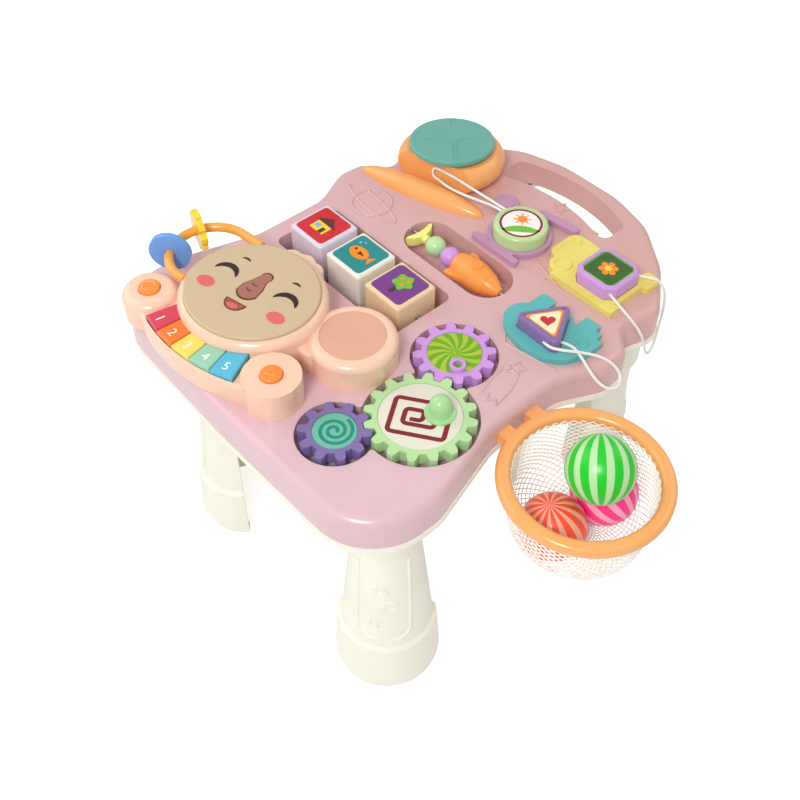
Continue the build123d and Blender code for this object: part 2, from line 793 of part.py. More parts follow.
with BuildPart() as gear_axles:
    with BuildSketch(level(POCKET_Z - WALL)):
        with Locations(*[place for _, place, _ in GEARS.values()]):
            Circle(AXLE_R)
    extrude(amount=GEAR_Z + AXLE_REACH - POCKET_Z + WALL)
    with BuildSketch(level(POCKET_Z)):
        with Locations(*[place for _, place, _ in GEARS.values()]):
            Circle(AXLE_SHOULDER_R)
    extrude(amount=GEAR_Z - SEAT_GAP - POCKET_Z)
save(gear_axles, "gear_axles")

knob_x, knob_y = polar(KNOB_OUT, KNOB_DIR)
knob_seat = Plane(
    spot(LARGE_GEAR_X + knob_x, LARGE_GEAR_Y + knob_y, GEAR_Z + GEAR_T - GEAR_DISC_SINK),
    x_dir=(1, 0, 0),
    z_dir=(0, -1, 0),
)
with BuildPart() as gear_knob:
    with BuildSketch(knob_seat):
        with BuildLine():
            Polyline(
                (0, 0),
                (KNOB_FLANGE_R, 0),
                (KNOB_FLANGE_R, KNOB_FLANGE_H),
                (KNOB_R, KNOB_FLANGE_H),
                (KNOB_R, KNOB_H - KNOB_R),
            )
            RadiusArc((KNOB_R, KNOB_H - KNOB_R), (0, KNOB_H), -KNOB_R)
            Line((0, KNOB_H), (0, 0))
        make_face()
    revolve(axis=Axis(knob_seat.origin, (0, 0, 1)))
save(gear_knob, "gear_knob")

# Picture blocks on one shaft across the trough
for index in range(BLOCK_COUNT):
    block_x = BLOCK_X + (index - (BLOCK_COUNT - 1) / 2) * BLOCK_PITCH
    with BuildPart() as block:
        with Locations(spot(block_x, BLOCK_Y, BLOCK_Z)):
            Box(BLOCK, BLOCK, BLOCK)
        fillet(block.edges(), BLOCK_EDGE_R)
        with BuildSketch(Plane(spot(block_x - BLOCK / 2, BLOCK_Y, BLOCK_Z), z_dir=(1, 0, 0))):
            Circle(BLOCK_SHAFT_R + RUN_GAP)
        extrude(amount=BLOCK, mode=Mode.SUBTRACT)
    save(block, f"picture_block_{index + 1}")

with BuildPart() as block_shaft:
    with BuildSketch(Plane(spot(BLOCK_X - TROUGH_L / 2 - WALL, BLOCK_Y, BLOCK_Z), z_dir=(1, 0, 0))):
        Circle(BLOCK_SHAFT_R)
    extrude(amount=TROUGH_L + 2 * WALL)
save(block_shaft, "block_shaft")

# Rocket, its two beads, the flame bracket and the rod
rod_start = ROCKET_POCKET_X - ROCKET_POCKET_L / 2 - WALL
rod_plane = Plane(spot(rod_start, ROCKET_POCKET_Y, ROD_Z), z_dir=(1, 0, 0))
with BuildPart() as rocket_rod:
    with BuildSketch(rod_plane):
        Circle(ROD_R)
    extrude(amount=ROCKET_POCKET_L + 2 * WALL)
save(rocket_rod, "rocket_rod")

rod_axis = Axis(spot(0, ROCKET_POCKET_Y, ROD_Z), (1, 0, 0))
bead_gap = SEAT_GAP + 0.1
bead_half = sqrt(BEAD_R**2 - (ROD_R + RUN_GAP) ** 2)
orchid_x = ROCKET_TAIL_X - bead_gap - BEAD_R
mint_x = orchid_x - bead_gap - 2 * BEAD_R
for bead_name, bead_x in (("bead_mint", mint_x), ("bead_orchid", orchid_x)):
    bead_side = Plane(spot(bead_x, ROCKET_POCKET_Y, ROD_Z), x_dir=(1, 0, 0), z_dir=(0, -1, 0))
    with BuildPart() as bead:
        with BuildSketch(bead_side):
            with BuildLine():
                round_side = ThreePointArc(
                    (-bead_half, ROD_R + RUN_GAP),
                    (0, BEAD_R),
                    (bead_half, ROD_R + RUN_GAP),
                )
                Line(round_side @ 1, round_side @ 0)
            make_face()
        revolve(axis=rod_axis)
    save(bead, bead_name)

rocket_side = Plane(spot(ROCKET_TAIL_X, ROCKET_POCKET_Y, ROD_Z), x_dir=(1, 0, 0), z_dir=(0, -1, 0))
with BuildPart() as rocket:
    with BuildSketch(rocket_side):
        with BuildLine():
            Polyline((0, ROD_R + RUN_GAP), (0, ROCKET_R * 0.75))
            ThreePointArc(
                (0, ROCKET_R * 0.75),
                (ROCKET_L * 0.38, ROCKET_R),
                (ROCKET_L * 0.68, ROCKET_R * 0.83),
            )
            ThreePointArc(
                (ROCKET_L * 0.68, ROCKET_R * 0.83),
                (ROCKET_L * 0.87, ROCKET_R * 0.55),
                (ROCKET_L, ROD_R + 1.5),
            )
            Polyline((ROCKET_L, ROD_R + 1.5), (ROCKET_L, ROD_R + RUN_GAP), (0, ROD_R + RUN_GAP))
        make_face()
    revolve(axis=rod_axis)
    fin_plane = Plane(spot(ROCKET_TAIL_X, ROCKET_POCKET_Y, ROD_Z - ROCKET_FIN_T / 2))
    with BuildSketch(fin_plane):
        with BuildLine():
            Polyline(
                (1, ROCKET_R * 0.7),
                (0, ROCKET_FIN_SPAN),
                (4, ROCKET_FIN_SPAN + 1),
                (ROCKET_L * 0.45, ROCKET_R * 0.9),
                (1, ROCKET_R * 0.7),
            )
        make_face()
        mirror(about=Plane.XZ)
    extrude(amount=ROCKET_FIN_T)
save(rocket, "rocket")

flame_x = mint_x - BEAD_R - bead_gap
flame_back = ROCKET_POCKET_X - ROCKET_POCKET_L / 2 + 8
with BuildPart() as rocket_flame:
    with BuildSketch(Plane(spot(0, 0, ROD_Z - FLAME_T / 2))):
        with BuildLine():
            bow = ThreePointArc(
                (flame_back, ROCKET_POCKET_Y - FLAME_SPAN / 2),
                (flame_x - 12, ROCKET_POCKET_Y),
                (flame_back, ROCKET_POCKET_Y + FLAME_SPAN / 2),
            )
            tail = ThreePointArc(
                (flame_back + 1, ROCKET_POCKET_Y + FLAME_SPAN / 2 + 4),
                (flame_x - 5, ROCKET_POCKET_Y),
                (flame_back + 1, ROCKET_POCKET_Y - FLAME_SPAN / 2 - 4),
            )
            Line(bow @ 1, tail @ 0)
            Line(tail @ 1, bow @ 0)
        make_face()
    extrude(amount=FLAME_T)
    with BuildSketch(Plane(spot(flame_x - 10, ROCKET_POCKET_Y, ROD_Z), z_dir=(1, 0, 0))):
        Circle(FLAME_STEM_R)
    extrude(amount=10)
    with BuildSketch(rod_plane):
        Circle(ROD_R + SCREW_GAP)
    extrude(amount=ROCKET_POCKET_L, mode=Mode.SUBTRACT)
save(rocket_flame, "rocket_flame")
print("rocket parts along X:", flame_back, flame_x, mint_x, orchid_x, ROCKET_TAIL_X + ROCKET_L)

# Toy and plate outlines, each drawn about its toy's centre
with BuildSketch() as round_face:
    Circle(ROUND_R)
with BuildSketch() as square_face:
    Rectangle(SQUARE_SIDE, SQUARE_SIDE)
    chamfer(square_face.vertices(), SQUARE_CUT)
with BuildSketch() as triangle_face:
    RegularPolygon(TRIANGLE_R, 3, rotation=90)
    fillet(triangle_face.vertices(), TRIANGLE_ROUND)

with BuildSketch() as helicopter_face:
    Circle(ROUND_R + SOCKET_RIM)
    with Locations(SKID_AT):
        SlotOverall(*SKID_SIZE)
    with Locations(*STRUTS_AT):
        Rectangle(*STRUT_SIZE)
    with Locations(TAIL_ROTOR_AT):
        Circle(TAIL_ROTOR_R)
    with BuildLine():
        Polyline(*TAIL_BOOM, close=True)
    make_face()
    with Locations(MAST_AT):
        Rectangle(*MAST_SIZE)
    with Locations(ROTOR_AT):
        SlotOverall(*ROTOR_SIZE, rotation=ROTOR_TURN)

with BuildSketch() as digger_face:
    add(square_face.sketch)
    offset(amount=SOCKET_RIM)
    with Locations(CAB_AT):
        RectangleRounded(*CAB_SIZE, CAB_CORNER_R)
    with Locations(WHEEL_AT):
        Circle(WHEEL_R)
    with Locations(CHASSIS_AT):
        Rectangle(*CHASSIS_SIZE)
    with Locations(TRACK_AT):
        Rectangle(*TRACK_SIZE)
    with Locations(BUCKET_AT):
        RectangleRounded(*BUCKET_SIZE, BUCKET_CORNER_R)

with BuildSketch() as ship_socket_face:
    add(triangle_face.sketch)
    offset(amount=SOCKET_RIM - 1)
with BuildSketch() as ship_face:
    with Locations(HULL_AT):
        Ellipse(*HULL_RADII)
    add(ship_socket_face.sketch)
    with Locations(FUNNEL_AT):
        RectangleRounded(*FUNNEL_SIZE, FUNNEL_CORNER_R)
    for step in range(STERN_STEPS):
        with Locations((STERN_AT[0] + STERN_STEP * step, STERN_AT[1] - STERN_STEP * step)):
            Rectangle(*STERN_SIZE)

# Each toy stands in the socket of a raised plate: a helicopter, a digger or a ship
TOYS = {
    "round_toy": (round_face.sketch, ROUND_AT, "helicopter_plate", helicopter_face.sketch),
    "square_toy": (square_face.sketch, SQUARE_AT, "digger_plate", digger_face.sketch),
    "triangle_toy": (triangle_face.sketch, TRIANGLE_AT, "ship_plate", ship_face.sketch),
}
for toy_name, (toy_face, place, plate_name, plate_face) in TOYS.items():
    with BuildPart() as plate:
        with BuildSketch(Plane(spot(*place, DECK_Z))):
            add(plate_face)
        extrude(amount=PLATE_H)
        with BuildSketch(Plane(spot(*place, DECK_Z + PLATE_H))):
            add(toy_face)
            offset(amount=TOY_GAP)
        extrude(amount=-TOY_SINK, mode=Mode.SUBTRACT)
    save(plate, plate_name)
    toy_solid = rounded_slab(toy_face, Plane(spot(*place, TOY_Z)), TOY_H, TOY_EDGE_R)
    with BuildPart() as toy:
        add(toy_solid)
        with BuildSketch(Plane(spot(*place, TOY_Z + TOY_H))):
            add(toy_face)
            offset(amount=-TOY_EDGE_R - TOY_FRAME)
        extrude(amount=-TOY_PANEL_SINK, mode=Mode.SUBTRACT)
    save(toy, toy_name)

# Cord loops: both ends of each are set in its toy. Heights are above the deck.
ROUND_CORD = [
    (-10.6, 113.3, 13),
    (-23.5, 112.2, 13.6),
    (-38, 107.4, 14),
    (-54, 102.4, 14),
    (-69, 99.8, 13.6),
    (-81, 100.4, 12.4),
    (-91, 102.4, 11.4),
    (-99.6, 101.8, 11.6),
    (-99.6, 101.8, 22.8),
    (-89.5, 104.5, 22.6),
    (-76, 107.6, 21),
    (-60, 110.4, 18.6),
    (-43, 113.4, 16),
    (-26, 116.4, 13.8),
    (-10.2, 117.4, 13),
]
SQUARE_CORD = [
    (128.4, 103.6, 12),
    (138.5, 101.2, 10.4),
    (150.5, 101, 5.8),
    (159.8, 104, -2.5),
    (165.5, 109, -14),
    (167.4, 114.5, -28),
    (167, 120.5, -43),
    (164.8, 129.5, -55),
    (161.5, 141, -60),
    (157.4, 150.5, -56),
    (154, 156.5, -45.5),
    (152.8, 159.7, -31),
    (152.3, 159.4, -16),
    (150.6, 157.6, -2),
    (144.4, 152.8, 9.8),
    (136.4, 146.6, 11.2),
    (128.4, 140.4, 12),
]
TRIANGLE_CORD = [
    (129, 18.3, 10),
    (138.5, 13.9, 14),
    (149, 17, 16.6),
    (159.3, 30.6, 12.8),
    (170.5, 44, 7.4),
    (181.3, 49.4, 2.6),
    (189, 51.6, -5.5),
    (194.6, 43.8, -10),
    (193, 34.5, -9),
    (185.5, 29, -5),
    (174, 28.8, 1),
    (161.8, 30.2, 8.5),
    (147, 34.3, 9.3),
    (138, 29.6, 9.3),
]


def cord_radii(points):
    """Bend radius at each inner point, from the shorter of the two runs that meet there."""
    radii = []
    for before, here, after in zip(points, points[1:], points[2:]):
        run_in = Vector(*here) - Vector(*before)
        run_out = Vector(*after) - Vector(*here)
        half_turn = radians(run_in.get_angle(run_out)) / 2
        radii.append(CORD_BEND_SHARE * min(run_in.length, run_out.length) / tan(half_turn))
    return radii


CORDS = {"round_cord": ROUND_CORD, "square_cord": SQUARE_CORD, "triangle_cord": TRIANGLE_CORD}
for cord_name, cord_points in CORDS.items():
    points = [spot(x, y, DECK_Z + z) for x, y, z in cord_points]
    radii = cord_radii(points)
    with BuildPart() as cord:
        with BuildLine() as cord_path:
            FilletPolyline(*points, radius=radii)
        with BuildSketch(Plane(cord_path.line @ 0, z_dir=cord_path.line % 0)):
            Circle(CORD_D / 2)
        sweep()
    save(cord, cord_name)
    length = sum(edge.length for edge in cord_path.line.edges())
    print(cord_name, "length", round(length, 1), "bend radii", [round(r, 1) for r in radii])
    print(cord_name, "volume over section x length", cord.part.volume / (pi * CORD_D**2 / 4 * length))

# Dome with a flat front, its brim, and the dial on a pivot
tilt = radians(DOME_TILT)
lean = radians(DOME_TILT_DIR)
dome_up = Vector(sin(tilt) * cos(lean), sin(tilt) * sin(lean), cos(tilt))
dome_side = Vector(-sin(lean), cos(lean), 0)
dome_origin = Vector(*spot(DOME_X, DOME_Y, DECK_Z))
dome_plane = Plane(dome_origin, x_dir=dome_side, z_dir=dome_up)
dome_section = Plane(dome_origin, x_dir=dome_side, z_dir=dome_side.cross(dome_up))
dome_axis = Axis(dome_origin, dome_up)
brim_turn = radians(BRIM_TURN)
with BuildPart() as dome:
    with BuildSketch(dome_section):
        with BuildLine():
            Polyline((0, DOME_H), (0, -DOME_H), (DOME_FOOT_R, -DOME_H), (DOME_FOOT_R, 0))
            ThreePointArc((DOME_FOOT_R, 0), (DOME_R, DOME_H * DOME_WIDEST), (DOME_TOP_R, DOME_H))
            Line((DOME_TOP_R, DOME_H), (0, DOME_H))
        make_face()
    revolve(axis=dome_axis)
    with Locations(spot(DOME_X, DOME_Y, DECK_Z - DOME_R)):
        Box(4 * DOME_R, 4 * DOME_R, 2 * DOME_R, mode=Mode.SUBTRACT)
    with BuildSketch(Plane(spot(DOME_X, DOME_Y, DECK_Z), x_dir=(cos(brim_turn), sin(brim_turn), 0))):
        with Locations((0, -DOME_CUT - DOME_R)):
            Rectangle(4 * DOME_R, 2 * DOME_R)
    extrude(amount=2 * DOME_H, mode=Mode.SUBTRACT)
    with BuildSketch(dome_plane.offset(DOME_H)):
        Circle(PIVOT_R + SCREW_GAP)
    extrude(amount=-DOME_H / 2, mode=Mode.SUBTRACT)
save(dome, "dome")

with BuildPart() as dial_pivot:
    with BuildSketch(dome_plane.offset(DOME_H / 2)):
        Circle(PIVOT_R)
    extrude(amount=DOME_H / 2 + PIVOT_FLANGE_T + PIVOT_REACH)
    with BuildSketch(dome_plane.offset(DOME_H)):
        Circle(PIVOT_FLANGE_R)
    extrude(amount=PIVOT_FLANGE_T)
save(dial_pivot, "dial_pivot")

dial_plane = dome_plane.offset(DOME_H + PIVOT_FLANGE_T + SEAT_GAP)
with BuildPart() as dial:
    with BuildSketch(dial_plane):
        Circle(DIAL_R)
    extrude(amount=DIAL_T)
    fillet(dial.edges().filter_by(GeomType.CIRCLE), DIAL_EDGE_R)
    with BuildSketch(dial_plane):
        Circle(PIVOT_R + RUN_GAP)
    extrude(amount=PIVOT_REACH, mode=Mode.SUBTRACT)
save(dial, "dial")

brim_plane = Plane(spot(BRIM_X, BRIM_Y, DECK_Z), x_dir=(cos(brim_turn), sin(brim_turn), 0))
with BuildPart() as dome_brim:
    with BuildSketch(brim_plane):
        Ellipse(BRIM_L / 2, BRIM_R)
        with Locations((0, BRIM_R)):
            Rectangle(BRIM_L, 2 * BRIM_R, mode=Mode.SUBTRACT)
    revolve(axis=Axis(brim_plane.origin, brim_plane.x_dir))
    with Locations(spot(BRIM_X, BRIM_Y, DECK_Z - BRIM_R)):
        Box(2 * BRIM_L, 2 * BRIM_L, 2 * BRIM_R, mode=Mode.SUBTRACT)
save(dome_brim, "dome_brim")


# Piano module
def sector(r_in, r_out, half_angle):
    """Ring sector about the fan centre, symmetric about the module's -Y axis."""
    with BuildSketch() as ring:
        with BuildLine():
            outer = CenterArc((0, 0), r_out, -90 - half_angle, 2 * half_angle)
            inner = CenterArc((0, 0), r_in, -90 - half_angle, 2 * half_angle)
            Line(outer @ 0, inner @ 0)
            Line(outer @ 1, inner @ 1)
        make_face()
    return ring.sketch


hand_spots = [polar(HAND_RING, -90 - HAND_ANGLE), polar(HAND_RING, -90 + HAND_ANGLE)]
body_face = sector(BODY_R_IN, BODY_R_OUT, HAND_ANGLE)
with BuildSketch() as hands_face:
    with Locations(*hand_spots):
        Circle(HAND_R)
with BuildSketch() as head_face:
    with Locations((0, HEAD_Y)):
        Ellipse(HEAD_A, HEAD_B)
with BuildSketch() as ear_face:
    with Locations((EAR_X, EAR_Y)):
        Circle(EAR_R)
with BuildSketch() as neck_face:
    with Locations(((EAR_X + HEAD_A - EAR_R / 2) / 2, (EAR_Y + HEAD_Y) / 2)):
        Circle(NECK_R)
with BuildSketch() as module_face:
    add(body_face)
    add(hands_face.sketch)
    add(head_face.sketch)
    add(ear_face.sketch)
    add(neck_face.sketch)

with BuildSketch() as hands_inner_face:
    with Locations(*hand_spots):
        Circle(HAND_R - CASE_WALL)
with BuildSketch() as head_inner_face:
    with Locations((0, HEAD_Y)):
        Ellipse(HEAD_A - CASE_WALL, HEAD_B - CASE_WALL)
with BuildSketch() as ear_inner_face:
    with Locations((EAR_X, EAR_Y)):
        Circle(EAR_R - CASE_WALL)
body_inner_face = sector(BODY_R_IN + CASE_WALL, BODY_R_OUT - CASE_WALL, HAND_ANGLE)

# Outer form, inner form, height, edge radius and top thickness of each part of the case
CASE_FORMS = [
    (body_face, body_inner_face, BODY_H, BODY_EDGE_R, CASE_WALL),
    (hands_face.sketch, hands_inner_face.sketch, HAND_H, HAND_EDGE_R, CASE_WALL),
    (head_face.sketch, head_inner_face.sketch, HEAD_H, HEAD_EDGE_R, HEAD_TOP_T),
    (ear_face.sketch, ear_inner_face.sketch, EAR_H, EAR_EDGE_R, CASE_WALL),
]
case_outer = []
case_inner = []
for outer_face, inner_face, form_h, form_r, top_t in CASE_FORMS:
    case_outer.append(rounded_slab(outer_face, fan(CASE_Z), form_h - BASE_T, form_r))
    case_inner.append((inner_face, form_h - BASE_T - top_t))
case_outer.append(rounded_slab(neck_face.sketch, fan(CASE_Z), NECK_H - BASE_T, BODY_EDGE_R))

loop_low = LOOP_Y - LOOP_R
loop_high = LOOP_Y + LOOP_R


def head_edge_x(y):
    """Where the head's left side lies at a distance along the module's Y axis."""
    return -HEAD_A * sqrt(1 - ((y - HEAD_Y) / HEAD_B) ** 2)


key_opening_face = sector(KEY_R_IN - KEY_GAP, KEY_R_OUT + KEY_GAP, KEY_SPAN + KEY_END_GAP)
with BuildPart() as piano_case:
    for form in case_outer:
        add(form)
    for inner_face, inner_h in case_inner:
        with BuildSketch(fan(CASE_Z)):
            add(inner_face)
        extrude(amount=inner_h, mode=Mode.SUBTRACT)
    with BuildSketch(fan(DECK_Z + KEY_TOP + KEY_GAP)):
        add(key_opening_face)
    extrude(amount=-KEY_TOP - KEY_GAP + BASE_T, mode=Mode.SUBTRACT)
    with BuildSketch(fan(DECK_Z + HAND_H)):
        with Locations(*hand_spots):
            Circle(BUTTON_R + BUTTON_GAP)
    extrude(amount=-HAND_H / 2, mode=Mode.SUBTRACT)
    with BuildSketch(fan(DECK_Z + HEAD_H)):
        with Locations((0, HEAD_Y)):
            Ellipse(FACE_A, FACE_B)
    extrude(amount=-FACE_SINK, mode=Mode.SUBTRACT)
    with BuildSketch(fan(DECK_Z + EAR_H)):
        with Locations((EAR_X, EAR_Y)):
            Circle(EAR_PAD_R)
    extrude(amount=-EAR_PAD_SINK, mode=Mode.SUBTRACT)
    for end_y in (loop_low, loop_high):
        end_x = head_edge_x(end_y)
        with BuildSketch(
            Plane(fan(LOOP_Z).from_local_coords((end_x - LOOP_HOLE_REACH, end_y, 0)), z_dir=fan(0).x_dir)
        ):
            Circle(LOOP_TUBE_R + SCREW_GAP)
        extrude(amount=LOOP_HOLE_REACH + LOOP_BITE, mode=Mode.SUBTRACT)
save(piano_case, "piano_case")

with BuildPart() as piano_base:
    with BuildSketch(fan(DECK_Z)):
        add(module_face.sketch)
    extrude(amount=BASE_T)
    with BuildSketch(fan(DECK_Z)):
        with Locations((0, HEAD_Y)):
            Rectangle(DOOR_W, DOOR_L)
    extrude(amount=BASE_T, mode=Mode.SUBTRACT)
    with BuildSketch(fan(CASE_Z)):
        for pad_r in (BOARD_R_IN + BOARD_PAD_INSET, BOARD_R_OUT - BOARD_PAD_INSET):
            for side in (-1, 1):
                with Locations(polar(pad_r, -90 + side * BOARD_PAD_ANGLE)):
                    Rectangle(BOARD_PAD, BOARD_PAD)
    extrude(amount=BOARD_PAD_H)
save(piano_base, "piano_base")

with BuildPart() as battery_door:
    with BuildSketch(fan(DECK_Z)):
        with Locations((0, HEAD_Y)):
            Rectangle(DOOR_W - 2 * DOOR_GAP, DOOR_L - 2 * DOOR_GAP)
    extrude(amount=BASE_T)
save(battery_door, "battery_door")

with BuildPart() as battery_cells:
    for index in range(CELL_COUNT):
        cell_y = HEAD_Y + (index - (CELL_COUNT - 1) / 2) * (2 * CELL_R + CELL_GAP)
        cell_foot = fan(CASE_Z + CELL_R).from_local_coords((-CELL_L / 2, cell_y, 0))
        with BuildSketch(Plane(cell_foot, z_dir=fan(0).x_dir)):
            Circle(CELL_R)
        extrude(amount=CELL_L)
save(battery_cells, "battery_cells")

board_face = sector(BOARD_R_IN, BOARD_R_OUT, KEY_SPAN - BOARD_TRIM)
with BuildPart() as circuit_board:
    with BuildSketch(fan(CASE_Z + BOARD_PAD_H)):
        add(board_face)
    extrude(amount=BOARD_T)
save(circuit_board, "circuit_board")

strip_face = sector(STRIP_R_IN, STRIP_R_OUT, KEY_SPAN - STRIP_TRIM)
strip_z = CASE_Z + BOARD_PAD_H + BOARD_T
with BuildPart() as key_contact_strip:
    with BuildSketch(fan(strip_z)):
        add(strip_face)
    extrude(amount=DECK_Z + KEY_FOOT - KEY_TRAVEL - KEY_GAP - strip_z)
save(key_contact_strip, "key_contact_strip")

with BuildPart() as speaker:
    with BuildSketch(fan(CASE_Z)):
        with Locations((EAR_X, EAR_Y)):
            Circle(SPEAKER_R)
    extrude(amount=SPEAKER_H)
    with BuildSketch(fan(CASE_Z + SPEAKER_H)):
        with Locations((EAR_X, EAR_Y)):
            Circle(CONE_R)
    extrude(amount=-CONE_DEPTH, taper=CONE_TAPER, mode=Mode.SUBTRACT)
save(speaker, "speaker")

with BuildSketch() as face_outline:
    with Locations((0, HEAD_Y)):
        Ellipse(FACE_A - DOOR_GAP, FACE_B - DOOR_GAP)
face_solid = rounded_slab(face_outline.sketch, fan(DECK_Z + HEAD_H - FACE_SINK), FACE_T, FACE_EDGE_R)
with BuildPart() as face_plate:
    add(face_solid)
save(face_plate, "face_plate")

with BuildPart() as ear_pad:
    with BuildSketch(fan(DECK_Z + EAR_H - EAR_PAD_SINK)):
        with Locations((EAR_X, EAR_Y)):
            Circle(EAR_PAD_R - DOOR_GAP)
    extrude(amount=EAR_PAD_T)
save(ear_pad, "ear_pad")

for index in range(KEY_COUNT):
    key_angle = -90 + (index - (KEY_COUNT - 1) / 2) * KEY_PITCH
    half = KEY_PITCH / 2
    gap_in = degrees(KEY_GAP / KEY_R_IN)
    gap_out = degrees(KEY_GAP / KEY_R_OUT)
    with BuildSketch() as key_face:
        with BuildLine():
            Polyline(
                polar(KEY_R_IN, key_angle - half + gap_in),
                polar(KEY_R_OUT, key_angle - half + gap_out),
                polar(KEY_R_OUT, key_angle + half - gap_out),
                polar(KEY_R_IN, key_angle + half - gap_in),
                close=True,
            )
        make_face()
    key_solid = rounded_slab(key_face.sketch, fan(DECK_Z + KEY_FOOT), KEY_TOP - KEY_FOOT, KEY_EDGE_R)
    with BuildPart() as key:
        add(key_solid)
    save(key, f"key_{index + 1}")

for side, hand_spot in zip(("left", "right"), hand_spots):
    with BuildSketch() as button_face:
        with Locations(hand_spot):
            Circle(BUTTON_R)
    button_h = BUTTON_TOP - BUTTON_FOOT
    button_solid = rounded_slab(button_face.sketch, fan(DECK_Z + BUTTON_FOOT), button_h, BUTTON_EDGE_R)
    with BuildPart() as button:
        add(button_solid)
    save(button, f"button_{side}")

# Rattle loop on the module's left side, with two rings on it
loop_plane = fan(LOOP_Z)
low_x = head_edge_x(loop_low) + LOOP_BITE
high_x = head_edge_x(loop_high) + LOOP_BITE
with BuildPart() as rattle_loop:
    with BuildLine(loop_plane) as loop_path:
        Line((low_x, loop_low), (LOOP_X, loop_low))
        ThreePointArc((LOOP_X, loop_low), (LOOP_X - LOOP_R, LOOP_Y), (LOOP_X, loop_high))
        Line((LOOP_X, loop_high), (high_x, loop_high))
    with BuildSketch(Plane(loop_path.line @ 0, z_dir=loop_path.line % 0)):
        Circle(LOOP_TUBE_R)
    sweep()
save(rattle_loop, "rattle_loop")

for ring_name, ring_angle in (("ring_blue", BLUE_ANGLE), ("ring_yellow", YELLOW_ANGLE)):
    out_x, out_y = polar(LOOP_R, ring_angle)
    ring_centre = loop_plane.from_local_coords((LOOP_X + out_x, LOOP_Y + out_y, 0))
    world_angle = radians(ring_angle + FAN_TURN)
    tangent = Vector(-sin(world_angle), cos(world_angle), 0)
    ring_plane = Plane(ring_centre, x_dir=(cos(world_angle), sin(world_angle), 0), z_dir=tangent)
    with BuildPart() as ring:
        with BuildSketch(ring_plane.offset(-RING_T / 2)):
            Circle(RING_R)
            if ring_name == "ring_yellow":
                with PolarLocations(RING_R + 1, SCALLOPS):
                    Circle(SCALLOP_R, mode=Mode.SUBTRACT)
            Circle(LOOP_TUBE_R + RING_GAP, mode=Mode.SUBTRACT)
        extrude(amount=RING_T)
    save(ring, ring_name)

# Ball hoop, its net and the balls
hoop_centre = spot(HOOP_X, HOOP_Y, HOOP_Z)
hoop_section = Plane(hoop_centre, x_dir=(1, 0, 0), z_dir=(0, -1, 0))
hoop_axis = Axis(hoop_centre, (0, 0, 1))
with BuildPart() as hoop_ring:
    with BuildSketch(hoop_section):
        with Locations((HOOP_R - HOOP_W / 2, 0)):
            RectangleRounded(HOOP_W, HOOP_H, HOOP_ROUND)
    revolve(axis=hoop_axis)
    ring_reach = HOOP_X - sqrt((HOOP_R - HOOP_W / 2) ** 2 - CLIP_SPREAD**2)
    for side in (-1, 1):
        clip_y = HOOP_Y + side * CLIP_SPREAD
        with Locations(spot((WAIST_HALF + ring_reach) / 2, clip_y, HOOP_Z)):
            Box(ring_reach - WAIST_HALF, CLIP_W, CLIP_H)
        with Locations(spot(WAIST_HALF - TONGUE_L / 2, clip_y, HOOP_Z)):
            Box(TONGUE_L, TONGUE_W, TONGUE_H)
save(hoop_ring, "hoop_ring")

net_top_z = HOOP_H / 2 - HOOP_ROUND
net_r = HOOP_IN_R - NET_GAP
with BuildPart() as hoop_net:
    with BuildSketch(hoop_section):
        with BuildLine():
            Line((net_r, net_top_z), (net_r, -NET_DEPTH + NET_BEND))
            ThreePointArc(
                (net_r, -NET_DEPTH + NET_BEND),
                (net_r - (net_r - NET_FLOOR_R) * NET_SAG, -NET_DEPTH + NET_BEND * NET_SAG),
                (NET_FLOOR_R, -NET_DEPTH),
            )
            Line((NET_FLOOR_R, -NET_DEPTH), (0, -NET_DEPTH))
            Line((0, -NET_DEPTH), (0, -NET_DEPTH + NET_T))
            Line((0, -NET_DEPTH + NET_T), (NET_FLOOR_R - NET_T / 2, -NET_DEPTH + NET_T))
            ThreePointArc(
                (NET_FLOOR_R - NET_T / 2, -NET_DEPTH + NET_T),
                (net_r - NET_T - (net_r - NET_FLOOR_R) * NET_SAG, -NET_DEPTH + NET_T + NET_BEND * NET_SAG),
                (net_r - NET_T, -NET_DEPTH + NET_BEND),
            )
            Line((net_r - NET_T, -NET_DEPTH + NET_BEND), (net_r - NET_T, net_top_z))
            Line((net_r - NET_T, net_top_z), (net_r, net_top_z))
        make_face()
    revolve(axis=hoop_axis)
save(hoop_net, "hoop_net")

row = radians(BALL_ROW_DIR)
half_row = BALL_R + BALL_GAP
floor_z = HOOP_Z - NET_DEPTH + NET_T + BALL_GAP + BALL_R
rise = sqrt((2 * BALL_R + BALL_GAP) ** 2 - (half_row - BALL_ALONG) ** 2 - BALL_ASIDE**2)
BALLS = {
    "ball_orange": (-half_row, 0, floor_z),
    "ball_pink": (half_row, 0, floor_z),
    "ball_green": (BALL_ALONG, BALL_ASIDE, floor_z + rise),
}
for ball_name, (along, aside, ball_z) in BALLS.items():
    ball_x = HOOP_X + along * cos(row) - aside * sin(row)
    ball_y = HOOP_Y + along * sin(row) + aside * cos(row)
    with BuildPart() as ball:
        with Locations(spot(ball_x, ball_y, ball_z)):
            Sphere(BALL_R)
            Sphere(BALL_R - BALL_WALL, mode=Mode.SUBTRACT)
    save(ball, ball_name)
    print(ball_name, spot(ball_x, ball_y, ball_z))
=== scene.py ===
import json
from math import cos, pi, radians, sin, sqrt

import bmesh
import bpy
from mathutils import Matrix, Vector


